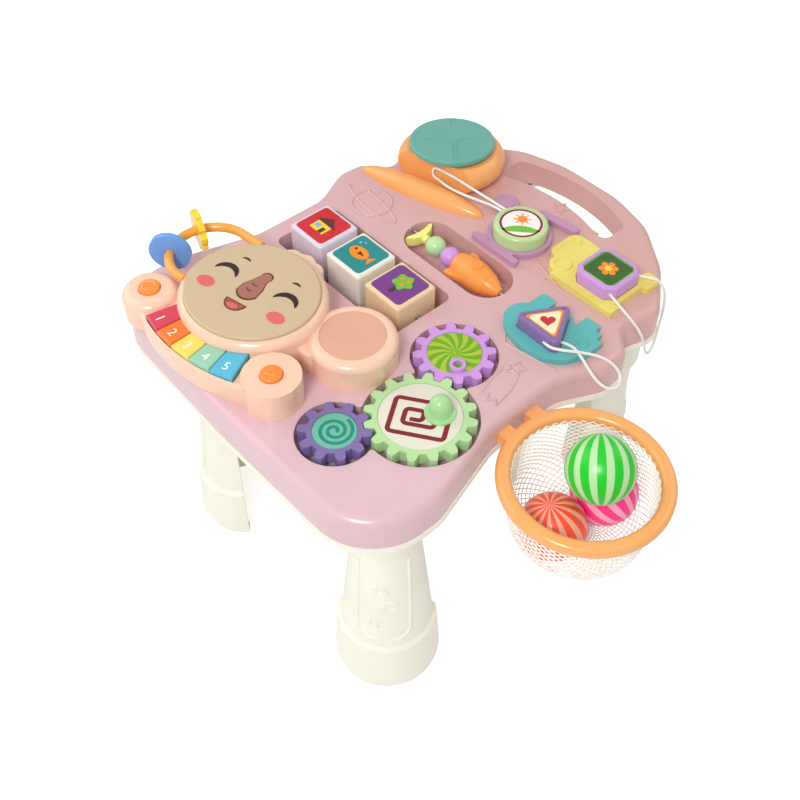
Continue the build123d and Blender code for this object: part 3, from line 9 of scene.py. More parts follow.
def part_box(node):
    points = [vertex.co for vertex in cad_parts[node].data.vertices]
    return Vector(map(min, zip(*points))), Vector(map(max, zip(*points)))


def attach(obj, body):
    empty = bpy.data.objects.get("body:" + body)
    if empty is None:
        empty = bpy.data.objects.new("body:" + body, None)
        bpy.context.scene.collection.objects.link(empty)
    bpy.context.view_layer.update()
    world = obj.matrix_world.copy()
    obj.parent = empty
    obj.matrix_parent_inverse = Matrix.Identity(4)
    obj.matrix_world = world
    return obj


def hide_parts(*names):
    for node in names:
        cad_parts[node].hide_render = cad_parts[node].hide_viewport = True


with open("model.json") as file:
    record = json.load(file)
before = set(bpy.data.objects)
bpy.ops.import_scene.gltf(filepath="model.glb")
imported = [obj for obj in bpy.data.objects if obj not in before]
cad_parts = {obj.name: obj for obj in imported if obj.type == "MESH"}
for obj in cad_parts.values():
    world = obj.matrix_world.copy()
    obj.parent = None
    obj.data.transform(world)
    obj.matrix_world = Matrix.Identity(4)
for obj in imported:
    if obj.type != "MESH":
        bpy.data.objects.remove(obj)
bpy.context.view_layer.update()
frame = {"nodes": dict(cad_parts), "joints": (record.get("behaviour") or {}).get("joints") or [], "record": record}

MM = 0.001

# The table's own axis and the deck's top, read from the frame
deck_low, deck_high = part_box("top_deck")
AXIS_X = (deck_low.x + deck_high.x) / 2
DECK_Z = deck_high.z
PIVOTS = {joint["child"]: Vector(joint["pos_m"]) for joint in frame["joints"] if "pos_m" in joint}

# Camera: millimetres from the table's axis and above the floor, degrees, millimetres of lens
CAMERA_AT = (496.4, -471.7, 952.5)
CAMERA_TURN = 48.58
CAMERA_DIP = 48.16
CAMERA_LENS = 46.0
CAMERA_SHIFT = (0.0037, -0.031)

# Piano module: its fan centre and turn
FAN_AT = (-72.0, -59.0)
FAN_TURN = 7.0


def at(x, y, z):
    """Point in metres from millimetres off the table's axis, with z above the deck's top."""
    return Vector((AXIS_X + x * MM, y * MM, DECK_Z + z * MM))


def on_fan(x, y, z):
    """Point in metres from millimetres in the piano module's own turned axes."""
    turn = radians(FAN_TURN)
    return at(
        FAN_AT[0] + x * cos(turn) - y * sin(turn),
        FAN_AT[1] + x * sin(turn) + y * cos(turn),
        z,
    )


def polar(radius, angle):
    """Plane point at a radius and an angle in degrees."""
    return (radius * cos(radians(angle)), radius * sin(radians(angle)))


def top_of(node):
    """Height of a node's top above the deck's top, in millimetres."""
    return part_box(node)[1].z / MM - DECK_Z / MM


# Modelling helpers
WELD = 0.000002
SLAB_SHARP = 35.0
ROD_SHARP = 50.0
ROUND_STEPS = 2
CORNER_POINTS = 6
STAR_TIPS = 5


def settle(piece, spot, turn=0.0, axis="Z"):
    """Turn a finished mesh by degrees and move it to a spot, kept in its vertices."""
    piece.data.transform(Matrix.Translation(spot) @ Matrix.Rotation(radians(turn), 4, axis))


def clean(piece, angle):
    """Merge doubles, turn the faces outwards and smooth all edges but the sharp ones."""
    mesh = bmesh.new()
    mesh.from_mesh(piece.data)
    bmesh.ops.remove_doubles(mesh, verts=mesh.verts, dist=WELD)
    bmesh.ops.recalc_face_normals(mesh, faces=mesh.faces)
    mesh.to_mesh(piece.data)
    mesh.free()
    piece.data.shade_smooth()
    piece.data.set_sharp_from_angle(angle=radians(angle))


def to_mesh(piece):
    """Turn a curve or a text into a mesh."""
    bpy.ops.object.select_all(action="DESELECT")
    piece.select_set(True)
    bpy.context.view_layer.objects.active = piece
    bpy.ops.object.convert(target="MESH")


def curve_object(name, splines, closed, dimensions="3D"):
    """Curve of straight runs through lists of points in millimetres, flat or with a height."""
    curve = bpy.data.curves.new(name, "CURVE")
    curve.dimensions = dimensions
    for points in splines:
        spline = curve.splines.new("POLY")
        spline.points.add(len(points) - 1)
        for point, place in zip(spline.points, points):
            height = place[2] if len(place) > 2 else 0.0
            point.co = (place[0] * MM, place[1] * MM, height * MM, 1.0)
        spline.use_cyclic_u = closed
    piece = bpy.data.objects.new(name, curve)
    bpy.context.scene.collection.objects.link(piece)
    return piece


def slab(name, splines, height, edge=0.0):
    """Flat closed outlines raised by a height, standing on z = 0; inner outlines are holes."""
    piece = curve_object(name, splines, True, "2D")
    piece.data.fill_mode = "BOTH"
    piece.data.extrude = (height / 2 - edge) * MM
    piece.data.bevel_depth = edge * MM
    piece.data.bevel_resolution = ROUND_STEPS
    piece.data.offset = -edge * MM
    to_mesh(piece)
    settle(piece, (0, 0, height / 2 * MM))
    clean(piece, SLAB_SHARP)
    return piece


def rod(name, splines, radius, closed=False, steps=ROUND_STEPS):
    """Round rod along lists of points in millimetres."""
    piece = curve_object(name, splines, closed)
    piece.data.bevel_depth = radius * MM
    piece.data.bevel_resolution = steps
    piece.data.use_fill_caps = True
    to_mesh(piece)
    clean(piece, ROD_SHARP)
    return piece


# Outlines, as lists of points in millimetres
def ring_points(radius, count):
    """Points round a circle about the origin."""
    angles = [2 * pi * index / count for index in range(count)]
    return [(radius * cos(angle), radius * sin(angle)) for angle in angles]


def oval(x, y, half_x, half_y, count=32):
    """Points round an ellipse about a place."""
    return [(x + half_x * px, y + half_y * py) for px, py in ring_points(1, count)]


def arc(centre, radius, start, end, count=16):
    """Points along an arc between two angles in degrees."""
    angles = [radians(start + (end - start) * index / (count - 1)) for index in range(count)]
    return [(centre[0] + radius * cos(a), centre[1] + radius * sin(a)) for a in angles]


def band(points, width):
    """Flat band of even width along a line of points."""
    left, right = [], []
    for index, (x, y) in enumerate(points):
        before = points[max(index - 1, 0)]
        after = points[min(index + 1, len(points) - 1)]
        run = Vector((after[0] - before[0], after[1] - before[1])).normalized()
        side = Vector((-run.y, run.x)) * width / 2
        left.append((x + side.x, y + side.y))
        right.append((x - side.x, y - side.y))
    return left + right[::-1]


def rounded_box(width, length, corner):
    """Rectangle with round corners."""
    points = []
    for corner_x, corner_y, start in ((1, 1, 0), (-1, 1, 90), (-1, -1, 180), (1, -1, 270)):
        centre = (corner_x * (width / 2 - corner), corner_y * (length / 2 - corner))
        points += arc(centre, corner, start, start + 90, CORNER_POINTS)
    return points


def star(outer, inner):
    """Star with one tip up."""
    points = []
    for index in range(2 * STAR_TIPS):
        points.append(polar(inner if index % 2 else outer, 90 + 180 * index / STAR_TIPS))
    return points


def moved(points, x, y, turn=0.0, scale=1.0):
    """Outline turned, scaled and shifted in its plane."""
    c, s = cos(radians(turn)) * scale, sin(radians(turn)) * scale
    return [(x + c * px - s * py, y + s * px + c * py) for px, py in points]


def standing(origin, right, up):
    """Matrix for a flat piece whose X runs along right and whose Y runs along up."""
    right = Vector(right).normalized()
    up = Vector(up).normalized()
    out = right.cross(up)
    turn = Matrix((right, up, out)).transposed().to_4x4()
    return Matrix.Translation(origin) @ turn


# Materials; a pair is the factor of a noise and what is added to it
FLOW_SCALE = 22.0
FLOW_DETAIL = 3.0
FLOW_VALUE = (0.09, 0.955)
FLOW_SATURATION = (-0.08, 1.04)
GRAIN_DETAIL = 2.0
GRAIN_ROUGHNESS = (0.06, -0.03)
BUMP_DEPTH = 0.0004
COAT_ROUGHNESS = 0.15
PLASTIC_SPECULAR = 0.42


def linear(red, green, blue):
    """Scene colour from a colour as it looks, 0 to 255, by the sRGB curve."""
    channels = []
    for value in (red, green, blue):
        share = value / 255
        channels.append(((share + 0.055) / 1.055) ** 2.4 if value > 10 else share / 12.92)
    return (*channels, 1.0)


def maths(tree, kind, *values):
    """Math node; each value is a socket or a number."""
    node = tree.nodes.new("ShaderNodeMath")
    node.operation = kind
    for socket, value in zip(node.inputs, values):
        if isinstance(value, (int, float)):
            socket.default_value = value
        else:
            tree.links.new(value, socket)
    return node.outputs[0]


def share_between(tree, value, low, high):
    """Share, from 0 to 1, of a value's way from low to high."""
    node = tree.nodes.new("ShaderNodeMapRange")
    node.inputs["From Min"].default_value = low
    node.inputs["From Max"].default_value = high
    tree.links.new(value, node.inputs["Value"])
    return node.outputs["Result"]


def two_tone(tree, share, first, second):
    """Colour that passes from the first to the second as a share grows."""
    mix = tree.nodes.new("ShaderNodeMix")
    mix.data_type = "RGBA"
    mix.inputs["A"].default_value = linear(*first)
    mix.inputs["B"].default_value = linear(*second)
    tree.links.new(share, mix.inputs["Factor"])
    return mix.outputs["Result"]


def moulded_group():
    """Moulded plastic: faint flow marks in the colour, fine grain in roughness and height."""
    group = bpy.data.node_groups.new("moulded_skin", "ShaderNodeTree")
    vector, colour, number = "NodeSocketVector", "NodeSocketColor", "NodeSocketFloat"
    takes = {"Place": vector, "Colour": colour, "Roughness": number, "Grain": number}
    gives = {"Colour": colour, "Roughness": number, "Height": number}
    for way, sockets in (("INPUT", takes), ("OUTPUT", gives)):
        for label, kind in sockets.items():
            group.interface.new_socket(label, in_out=way, socket_type=kind)
    entry = group.nodes.new("NodeGroupInput")
    out = group.nodes.new("NodeGroupOutput")
    flow = group.nodes.new("ShaderNodeTexNoise")
    flow.inputs["Scale"].default_value = FLOW_SCALE
    flow.inputs["Detail"].default_value = FLOW_DETAIL
    grain = group.nodes.new("ShaderNodeTexNoise")
    grain.inputs["Detail"].default_value = GRAIN_DETAIL
    for texture in (flow, grain):
        group.links.new(entry.outputs["Place"], texture.inputs["Vector"])
    group.links.new(entry.outputs["Grain"], grain.inputs["Scale"])
    tone = group.nodes.new("ShaderNodeHueSaturation")
    value = maths(group, "MULTIPLY_ADD", flow.outputs["Fac"], *FLOW_VALUE)
    saturation = maths(group, "MULTIPLY_ADD", flow.outputs["Fac"], *FLOW_SATURATION)
    group.links.new(entry.outputs["Colour"], tone.inputs["Color"])
    group.links.new(value, tone.inputs["Value"])
    group.links.new(saturation, tone.inputs["Saturation"])
    rough = maths(group, "MULTIPLY_ADD", grain.outputs["Fac"], *GRAIN_ROUGHNESS)
    group.links.new(maths(group, "ADD", rough, entry.outputs["Roughness"]), out.inputs["Roughness"])
    group.links.new(tone.outputs["Color"], out.inputs["Colour"])
    group.links.new(grain.outputs["Fac"], out.inputs["Height"])
    return group


MOULDED = moulded_group()


def base_material(name, coordinates="Object"):
    """New material with its tree, its shader and the socket of its coordinates."""
    material = bpy.data.materials.new(name)
    material.use_nodes = True
    tree = material.node_tree
    shader = tree.nodes["Principled BSDF"]
    place = tree.nodes.new("ShaderNodeTexCoord")
    return material, tree, shader, place.outputs[coordinates]


def skin(tree, shader, place, colour, roughness, grain, bump):
    """Moulded skin group into a shader; colour is a tuple or a socket."""
    node = tree.nodes.new("ShaderNodeGroup")
    node.node_tree = MOULDED
    tree.links.new(place, node.inputs["Place"])
    if isinstance(colour, tuple):
        node.inputs["Colour"].default_value = colour
    else:
        tree.links.new(colour, node.inputs["Colour"])
    node.inputs["Roughness"].default_value = roughness
    node.inputs["Grain"].default_value = grain
    lift = tree.nodes.new("ShaderNodeBump")
    lift.inputs["Strength"].default_value = bump
    lift.inputs["Distance"].default_value = BUMP_DEPTH
    tree.links.new(node.outputs["Height"], lift.inputs["Height"])
    tree.links.new(node.outputs["Colour"], shader.inputs["Base Color"])
    tree.links.new(node.outputs["Roughness"], shader.inputs["Roughness"])
    tree.links.new(lift.outputs["Normal"], shader.inputs["Normal"])


def plastic(name, colour, roughness, grain=900.0, bump=0.06, coat=0.0):
    """Moulded plastic of one colour, under a clear coat where it shines."""
    material, tree, shader, place = base_material(name)
    skin(tree, shader, place, linear(*colour), roughness, grain, bump)
    shader.inputs["Coat Weight"].default_value = coat
    shader.inputs["Coat Roughness"].default_value = COAT_ROUGHNESS
    shader.inputs["Specular IOR Level"].default_value = PLASTIC_SPECULAR
    return material


# Painted light and shade on the deck: its pink is lighter and cooler at the front, where the light falls, and
# darker and warmer towards the back. The first pair is the span along Y, in metres, over which the painted shade
# grows from front to back. The two colours are the lit front and the shaded back.
DECK_SHADE_SPAN = (-0.16, 0.12)
DECK_LIT_FRONT = (222, 186, 194)
DECK_SHADED_BACK = (216, 171, 166)
DECK_COAT = 0.25


def deck_plastic():
    """Deck plastic with painted light and shade: lighter, cool pink at the front edge, darker and warmer towards
    the handle.
    """
    material, tree, shader, place = base_material("deck_pink")
    split = tree.nodes.new("ShaderNodeSeparateXYZ")
    tree.links.new(place, split.inputs["Vector"])
    # Share of painted shade, growing from the lit front to the shaded back
    back = share_between(tree, split.outputs["Y"], *DECK_SHADE_SPAN)
    colour = two_tone(tree, back, DECK_LIT_FRONT, DECK_SHADED_BACK)
    skin(tree, shader, place, colour, roughness=0.28, grain=1400.0, bump=0.005)
    shader.inputs["Coat Weight"].default_value = DECK_COAT
    shader.inputs["Coat Roughness"].default_value = COAT_ROUGHNESS
    return material


# Looks of the plastics, by record slot
PLASTICS = {
    "frame_cream": dict(colour=(246, 244, 228), roughness=0.32, grain=1200, bump=0.008, coat=0.1),
    "module_peach": dict(colour=(246, 206, 178), roughness=0.24, grain=1200, bump=0.005, coat=0.4),
    "face_cream": dict(colour=(206, 184, 147), roughness=0.36, grain=700, bump=0.02),
    "ear_blush": dict(colour=(224, 173, 144), roughness=0.4, grain=700, bump=0.05),
    "key_red": dict(colour=(214, 66, 88), roughness=0.26, coat=0.3),
    "key_orange": dict(colour=(246, 124, 42), roughness=0.26, coat=0.3),
    "key_yellow": dict(colour=(242, 220, 100), roughness=0.26, coat=0.3),
    "key_green": dict(colour=(154, 208, 178), roughness=0.26, coat=0.3),
    "key_blue": dict(colour=(90, 188, 216), roughness=0.26, coat=0.3),
    "button_orange": dict(colour=(255, 146, 64), roughness=0.3),
    "dome_orange": dict(colour=(248, 176, 104), roughness=0.22, bump=0.02, coat=0.35),
    "dial_teal": dict(colour=(108, 174, 162), roughness=0.34),
    "toy_green": dict(colour=(194, 222, 158), roughness=0.28, bump=0.03, coat=0.15),
    "orchid": dict(colour=(208, 156, 226), roughness=0.32),
    "violet": dict(colour=(136, 112, 168), roughness=0.34),
    "gear_green": dict(colour=(186, 224, 162), roughness=0.28, bump=0.03, coat=0.15),
    "gear_blue": dict(colour=(130, 112, 170), roughness=0.32),
    "knob_mint": dict(colour=(172, 222, 158), roughness=0.26, bump=0.03, coat=0.2),
    "plate_purple": dict(colour=(196, 150, 182), roughness=0.32, bump=0.03),
    "plate_yellow": dict(colour=(236, 222, 116), roughness=0.34),
    "plate_teal": dict(colour=(98, 184, 184), roughness=0.34),
    "loop_orange": dict(colour=(244, 170, 74), roughness=0.24, coat=0.3),
    "ring_yellow": dict(colour=(250, 216, 60), roughness=0.26, coat=0.3),
    "ring_blue": dict(colour=(110, 166, 236), roughness=0.26, coat=0.3),
    "flame_yellow": dict(colour=(246, 242, 140), roughness=0.28),
    "bead_mint": dict(colour=(188, 230, 170), roughness=0.26),
    "rocket_orange": dict(colour=(252, 160, 76), roughness=0.3),
    "board_green": dict(colour=(40, 110, 70), roughness=0.5),
    "rubber_grey": dict(colour=(90, 90, 95), roughness=0.7),
    "cell_grey": dict(colour=(120, 120, 125), roughness=0.4),
    "speaker_black": dict(colour=(40, 40, 42), roughness=0.6),
}

# Flat printed inks and films with a faint mottle
INK_LOOK = dict(roughness=0.45, grain=500.0, bump=0.02)
INK_COLOURS = {
    "white": (246, 244, 238),
    "cream": (245, 236, 196),
    "oat": (228, 224, 206),
    "umber": (92, 50, 44),
    "dark": (52, 34, 34),
    "maroon": (132, 34, 40),
    "red": (206, 40, 52),
    "blush": (224, 104, 98),
    "rose": (160, 84, 72),
    "trunk": (168, 108, 92),
    "mint": (104, 190, 160),
    "pine": (38, 138, 130),
    "lime": (172, 200, 56),
    "leaf": (110, 172, 30),
    "teal": (40, 140, 140),
    "purple": (122, 62, 140),
    "forest": (60, 104, 44),
    "orange": (246, 146, 44),
    "yellow": (250, 210, 66),
    "sky": (126, 190, 226),
    "grass": (120, 190, 60),
}


def steel():
    """Brushed steel: long streaks along X."""
    material, tree, shader, place = base_material("steel")
    streak = tree.nodes.new("ShaderNodeMapping")
    streak.inputs["Scale"].default_value = (40, 900, 900)
    noise = tree.nodes.new("ShaderNodeTexNoise")
    noise.inputs["Scale"].default_value = 1.0
    tree.links.new(place, streak.inputs["Vector"])
    tree.links.new(streak.outputs["Vector"], noise.inputs["Vector"])
    ramp = tree.nodes.new("ShaderNodeValToRGB")
    ramp.color_ramp.elements[0].color = linear(150, 150, 152)
    ramp.color_ramp.elements[1].color = linear(205, 205, 208)
    tree.links.new(noise.outputs["Fac"], ramp.inputs["Fac"])
    tree.links.new(ramp.outputs["Color"], shader.inputs["Base Color"])
    shader.inputs["Metallic"].default_value = 1.0
    shader.inputs["Roughness"].default_value = 0.35
    return material


def twisted_cord():
    """Soft white cord: slanting twist marks along its own length."""
    material, tree, shader, uv = base_material("cord_white", "UV")
    twist = tree.nodes.new("ShaderNodeTexWave")
    twist.wave_type = "BANDS"
    twist.bands_direction = "DIAGONAL"
    twist.inputs["Scale"].default_value = 26.0
    twist.inputs["Distortion"].default_value = 0.6
    tree.links.new(uv, twist.inputs["Vector"])
    ramp = tree.nodes.new("ShaderNodeValToRGB")
    ramp.color_ramp.elements[0].color = linear(240, 238, 230)
    ramp.color_ramp.elements[1].color = linear(255, 254, 250)
    tree.links.new(twist.outputs["Fac"], ramp.inputs["Fac"])
    lift = tree.nodes.new("ShaderNodeBump")
    lift.inputs["Strength"].default_value = 0.3
    lift.inputs["Distance"].default_value = BUMP_DEPTH
    tree.links.new(twist.outputs["Fac"], lift.inputs["Height"])
    tree.links.new(ramp.outputs["Color"], shader.inputs["Base Color"])
    tree.links.new(lift.outputs["Normal"], shader.inputs["Normal"])
    shader.inputs["Roughness"].default_value = 0.85
    return material


def net_thread():
    """White thread of the ball net."""
    material, tree, shader, place = base_material("net_thread")
    skin(tree, shader, place, linear(255, 254, 248), roughness=0.7, grain=2600.0, bump=0.1)
    return material


BALL_STRIPES = 13.0
STRIPE_SOFT = 0.12


def striped_ball(node, tilt, colour, pale, level):
    """Stripes from pole to pole round a ball's own axis, pale where their wave is above the level."""
    low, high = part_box(node)
    material, tree, shader, place = base_material(f"{node}_stripes")
    shift = tree.nodes.new("ShaderNodeVectorMath")
    shift.operation = "SUBTRACT"
    shift.inputs[1].default_value = (low + high) / 2
    tree.links.new(place, shift.inputs[0])
    turn = tree.nodes.new("ShaderNodeMapping")
    turn.inputs["Rotation"].default_value = [radians(angle) for angle in tilt]
    tree.links.new(shift.outputs["Vector"], turn.inputs["Vector"])
    split = tree.nodes.new("ShaderNodeSeparateXYZ")
    tree.links.new(turn.outputs["Vector"], split.inputs["Vector"])
    angle = maths(tree, "ARCTAN2", split.outputs["Y"], split.outputs["X"])
    wave = maths(tree, "SINE", maths(tree, "MULTIPLY", angle, BALL_STRIPES))
    stripe = share_between(tree, wave, level - STRIPE_SOFT, level + STRIPE_SOFT)
    colours = two_tone(tree, stripe, colour, pale)
    skin(tree, shader, place, colours, roughness=0.3, grain=800.0, bump=0.03)
    return material


FINISH = {slot: plastic(slot, **look) for slot, look in PLASTICS.items()}
FINISH["deck_pink"] = deck_plastic()
FINISH["steel"] = steel()
FINISH["cord_white"] = twisted_cord()
FINISH["net_white"] = net_thread()
INK = {ink: plastic(f"ink_{ink}", colour, **INK_LOOK) for ink, colour in INK_COLOURS.items()}

# Give each carried-over node its finish: its own, or its slot's.
# A ball's look is its tilt in degrees, its colour, its pale colour and the level between them.
NODE_SHARP = 30.0
BALLS = {
    "ball_green": ((36.5, 34, 0), (30, 202, 44), (184, 230, 168), 0.15),
    "ball_orange": ((-5.9, 9.9, 0), (255, 88, 60), (255, 176, 152), 0.2),
    "ball_pink": ((-17.1, 59.3, 0), (255, 44, 138), (255, 168, 202), 0.2),
}
OWN_FINISH = {
    "picture_block_1": plastic("block_lilac", (226, 216, 232), roughness=0.3),
    "picture_block_2": plastic("block_snow", (238, 236, 226), roughness=0.3),
    "picture_block_3": plastic("block_cream", (238, 210, 170), roughness=0.3),
}
for ball, look in BALLS.items():
    OWN_FINISH[ball] = striped_ball(ball, *look)
SLOT_OF = {entry["node"]: entry["material_slot"] for entry in frame["record"]["subparts"]}
for node, piece in frame["nodes"].items():
    piece.data.materials.clear()
    piece.data.materials.append(OWN_FINISH[node] if node in OWN_FINISH else FINISH[SLOT_OF[node]])
    piece.data.shade_smooth()
    piece.data.set_sharp_from_angle(angle=radians(NODE_SHARP))


def fit(piece, body, slot, material=None):
    """Give a new piece its material, by default its slot's, and its body."""
    piece.data.materials.append(material or FINISH[slot])
    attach(piece, body)


# Camera and light
SENSOR = 36.0
CLIP_START = 0.01
WORLD_LIGHT = 0.54
FLOOR_SIZE = 12.0
FLOOR_GREY = 0.86
FLOOR_ROUGHNESS = 0.9
FLOOR_GLOW = 0.56
WHITE = (1.0, 1.0, 1.0)
WARM = (1.0, 0.8, 0.68)
LIGHT_AIM = Vector((0, 0, 0.25))


def set_camera():
    """Camera that was fitted to the photo."""
    data = bpy.data.cameras.new("photo_view")
    data.lens = CAMERA_LENS
    data.sensor_width = SENSOR
    data.shift_x, data.shift_y = CAMERA_SHIFT
    data.clip_start = CLIP_START
    camera = bpy.data.objects.new("photo_view", data)
    bpy.context.scene.collection.objects.link(camera)
    camera.location = at(CAMERA_AT[0], CAMERA_AT[1], CAMERA_AT[2] - DECK_Z / MM)
    camera.rotation_euler = (radians(90 - CAMERA_DIP), 0, radians(CAMERA_TURN))
    bpy.context.scene.camera = camera


def area_light(name, place, size, power, colour=WHITE):
    """Round soft light that points at the table."""
    data = bpy.data.lights.new(name, "AREA")
    data.color = colour
    data.shape = "DISK"
    data.size = size
    data.energy = power
    lamp = bpy.data.objects.new(name, data)
    bpy.context.scene.collection.objects.link(lamp)
    lamp.location = place
    lamp.rotation_euler = (LIGHT_AIM - Vector(place)).to_track_quat("-Z", "Y").to_euler()


def set_surroundings():
    """World that lights softly and looks pale to the camera."""
    world = bpy.data.worlds.new("white_room")
    bpy.context.scene.world = world
    world.use_nodes = True
    tree = world.node_tree
    light = tree.nodes["Background"]
    light.inputs["Color"].default_value = (*WHITE, 1)
    light.inputs["Strength"].default_value = WORLD_LIGHT
    seen = tree.nodes.new("ShaderNodeBackground")
    seen.inputs["Strength"].default_value = 1.0
    path = tree.nodes.new("ShaderNodeLightPath")
    mix = tree.nodes.new("ShaderNodeMixShader")
    tree.links.new(path.outputs["Is Camera Ray"], mix.inputs["Fac"])
    tree.links.new(light.outputs["Background"], mix.inputs[1])
    tree.links.new(seen.outputs["Background"], mix.inputs[2])
    tree.links.new(mix.outputs["Shader"], tree.nodes["World Output"].inputs["Surface"])


def set_floor():
    """Floor that looks pale to the camera and still takes the table's shadow."""
    bpy.ops.mesh.primitive_plane_add(size=FLOOR_SIZE, location=(0, 0, 0))
    floor = bpy.context.active_object
    floor.name = "studio_floor"
    material, tree, shader, _ = base_material("studio_floor")
    shader.inputs["Base Color"].default_value = (FLOOR_GREY, FLOOR_GREY, FLOOR_GREY, 1)
    shader.inputs["Roughness"].default_value = FLOOR_ROUGHNESS
    glow = tree.nodes.new("ShaderNodeEmission")
    glow.inputs["Color"].default_value = (*WHITE, 1)
    path = tree.nodes.new("ShaderNodeLightPath")
    both = tree.nodes.new("ShaderNodeAddShader")
    seen = maths(tree, "MULTIPLY", path.outputs["Is Camera Ray"], FLOOR_GLOW)
    tree.links.new(seen, glow.inputs["Strength"])
    tree.links.new(shader.outputs["BSDF"], both.inputs[0])
    tree.links.new(glow.outputs["Emission"], both.inputs[1])
    tree.links.new(both.outputs["Shader"], tree.nodes["Material Output"].inputs["Surface"])
    floor.data.materials.append(material)


bpy.context.scene.view_settings.view_transform = "Standard"
set_camera()
set_surroundings()
set_floor()
area_light("key_light", (0.6, -1.25, 1.75), size=0.65, power=20.0)
area_light("fill_light", (-1.4, -0.6, 1.2), size=1.6, power=9.0)
area_light("back_light", (0.4, 1.5, 1.5), size=1.4, power=6.0, colour=WARM)

# Cords of the shape toys, in millimetres from the table's axis and above the deck
CORD_D = 2.6
ROUND_CORD = [
    (-10.6, 113.3, 13),
    (-23.5, 112.2, 13.6),
    (-38, 107.4, 14),
    (-54, 102.4, 14),
    (-69, 99.8, 13.6),
    (-81, 100.4, 12.4),
    (-91, 102.4, 11.4),
    (-99.6, 101.8, 11.6),
    (-99.6, 101.8, 22.8),
    (-89.5, 104.5, 22.6),
    (-76, 107.6, 21),
    (-60, 110.4, 18.6),
    (-43, 113.4, 16),
    (-26, 116.4, 13.8),
    (-10.2, 117.4, 13),
]
SQUARE_CORD = [
    (128.4, 103.6, 12),
    (138.5, 101.2, 10.4),
    (150.5, 101, 5.8),
    (159.8, 104, -2.5),
    (165.5, 109, -14),
    (167.4, 114.5, -28),
    (167, 120.5, -43),
    (164.8, 129.5, -55),
    (161.5, 141, -60),
    (157.4, 150.5, -56),
    (154, 156.5, -45.5),
    (152.8, 159.7, -31),
    (152.3, 159.4, -16),
    (150.6, 157.6, -2),
    (144.4, 152.8, 9.8),
    (136.4, 146.6, 11.2),
    (128.4, 140.4, 12),
]
TRIANGLE_CORD = [
    (129, 18.3, 10),
    (138.5, 13.9, 14),
    (149, 17, 16.6),
    (159.3, 30.6, 12.8),
    (170.5, 44, 7.4),
    (181.3, 49.4, 2.6),
    (189, 51.6, -5.5),
    (194.6, 43.8, -10),
    (193, 34.5, -9),
    (185.5, 29, -5),
    (174, 28.8, 1),
    (161.8, 30.2, 8.5),
    (147, 34.3, 9.3),
    (138, 29.6, 9.3),
]


def cord_loop(name, route, node, body):
    """One open smooth line whose two ends sit in the toy."""
    curve = bpy.data.curves.new(name, "CURVE")
    curve.dimensions = "3D"
    curve.resolution_u = 8
    curve.bevel_depth = CORD_D / 2 * MM
    curve.bevel_resolution = 3
    curve.use_fill_caps = True
    spline = curve.splines.new("NURBS")
    spline.points.add(len(route) - 1)
    for point, place in zip(spline.points, route):
        point.co = (*at(*place), 1.0)
    spline.order_u = 3
    spline.use_endpoint_u = True
    piece = bpy.data.objects.new(name, curve)
    bpy.context.scene.collection.objects.link(piece)
    fit(piece, body, "cord_white")
    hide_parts(node)


cord_loop("round_toy_cord", ROUND_CORD, "round_cord", "round_toy")
cord_loop("square_toy_cord", SQUARE_CORD, "square_cord", "square_toy")
cord_loop("triangle_toy_cord", TRIANGLE_CORD, "triangle_cord", "triangle_toy")


# Ball net: knotted threads that run both ways round the basket
NET_STRANDS = 46
NET_TURN = 0.5
NET_STEPS = 24
THREAD_R = 0.55
NET_FLOOR_R = 40.0
NET_BEND = 26.0
NET_EYE = 0.04
net_low, net_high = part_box("hoop_net")
net_mid = (net_low + net_high) / 2 / MM


def net_profile(share):
    """Radius and height of the basket, in millimetres, from its mouth to near its floor's middle."""
    wall_r = (net_high.x - net_low.x) / 2 / MM - THREAD_R
    top, bottom = net_high.z / MM, net_low.z / MM + THREAD_R
    wall = top - bottom - NET_BEND
    bend = sqrt(NET_BEND**2 + (wall_r - NET_FLOOR_R) ** 2)
    run = share * (wall + bend + NET_FLOOR_R * (1 - NET_EYE))
    if run < wall:
        return wall_r, top - run
    if run < wall + bend:
        part = (run - wall) / bend * pi / 2
        return NET_FLOOR_R + (wall_r - NET_FLOOR_R) * cos(part), bottom + NET_BEND * (1 - sin(part))
    return NET_FLOOR_R - (run - wall - bend), bottom


net_strands = []
for way in (-1, 1):
    for strand in range(NET_STRANDS):
        points = []
        for step in range(NET_STEPS + 1):
            share = step / NET_STEPS
            radius, height = net_profile(share)
            x, y = polar(radius, 360 * (strand / NET_STRANDS + way * NET_TURN * share))
            points.append((net_mid.x + x, net_mid.y + y, height))
        net_strands.append(points)
ball_net = rod("ball_net", net_strands, THREAD_R, steps=0)
fit(ball_net, "table", "net_white")
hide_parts("hoop_net")


# Gears: printed discs let into their tops
GEAR_TOP = top_of("gear_small")
DISC_SINK = 1.2
DISC_T = 0.8
DISC_EDGE = 0.15
DISC_POINTS = 72
PRINT_T = 0.12
LARGE_DISC_R = 34.4
MEDIUM_DISC_R = 23.6
SMALL_DISC_R = 18.2


def gear_art(body, slot, radius, paper, tag, outlines, ink):
    """Disc let into a gear's top and the shapes printed on it, drawn about its axle."""
    disc = slab(f"{body}_disc", [ring_points(radius, DISC_POINTS)], DISC_T, DISC_EDGE)
    art = slab(f"{body}_{tag}", outlines, PRINT_T)
    pivot = PIVOTS[body]
    low = GEAR_TOP - DISC_SINK
    for piece, height, colour in ((disc, low, paper), (art, low + DISC_T, ink)):
        settle(piece, (pivot.x, pivot.y, DECK_Z + height * MM))
        fit(piece, body, slot, INK[colour])


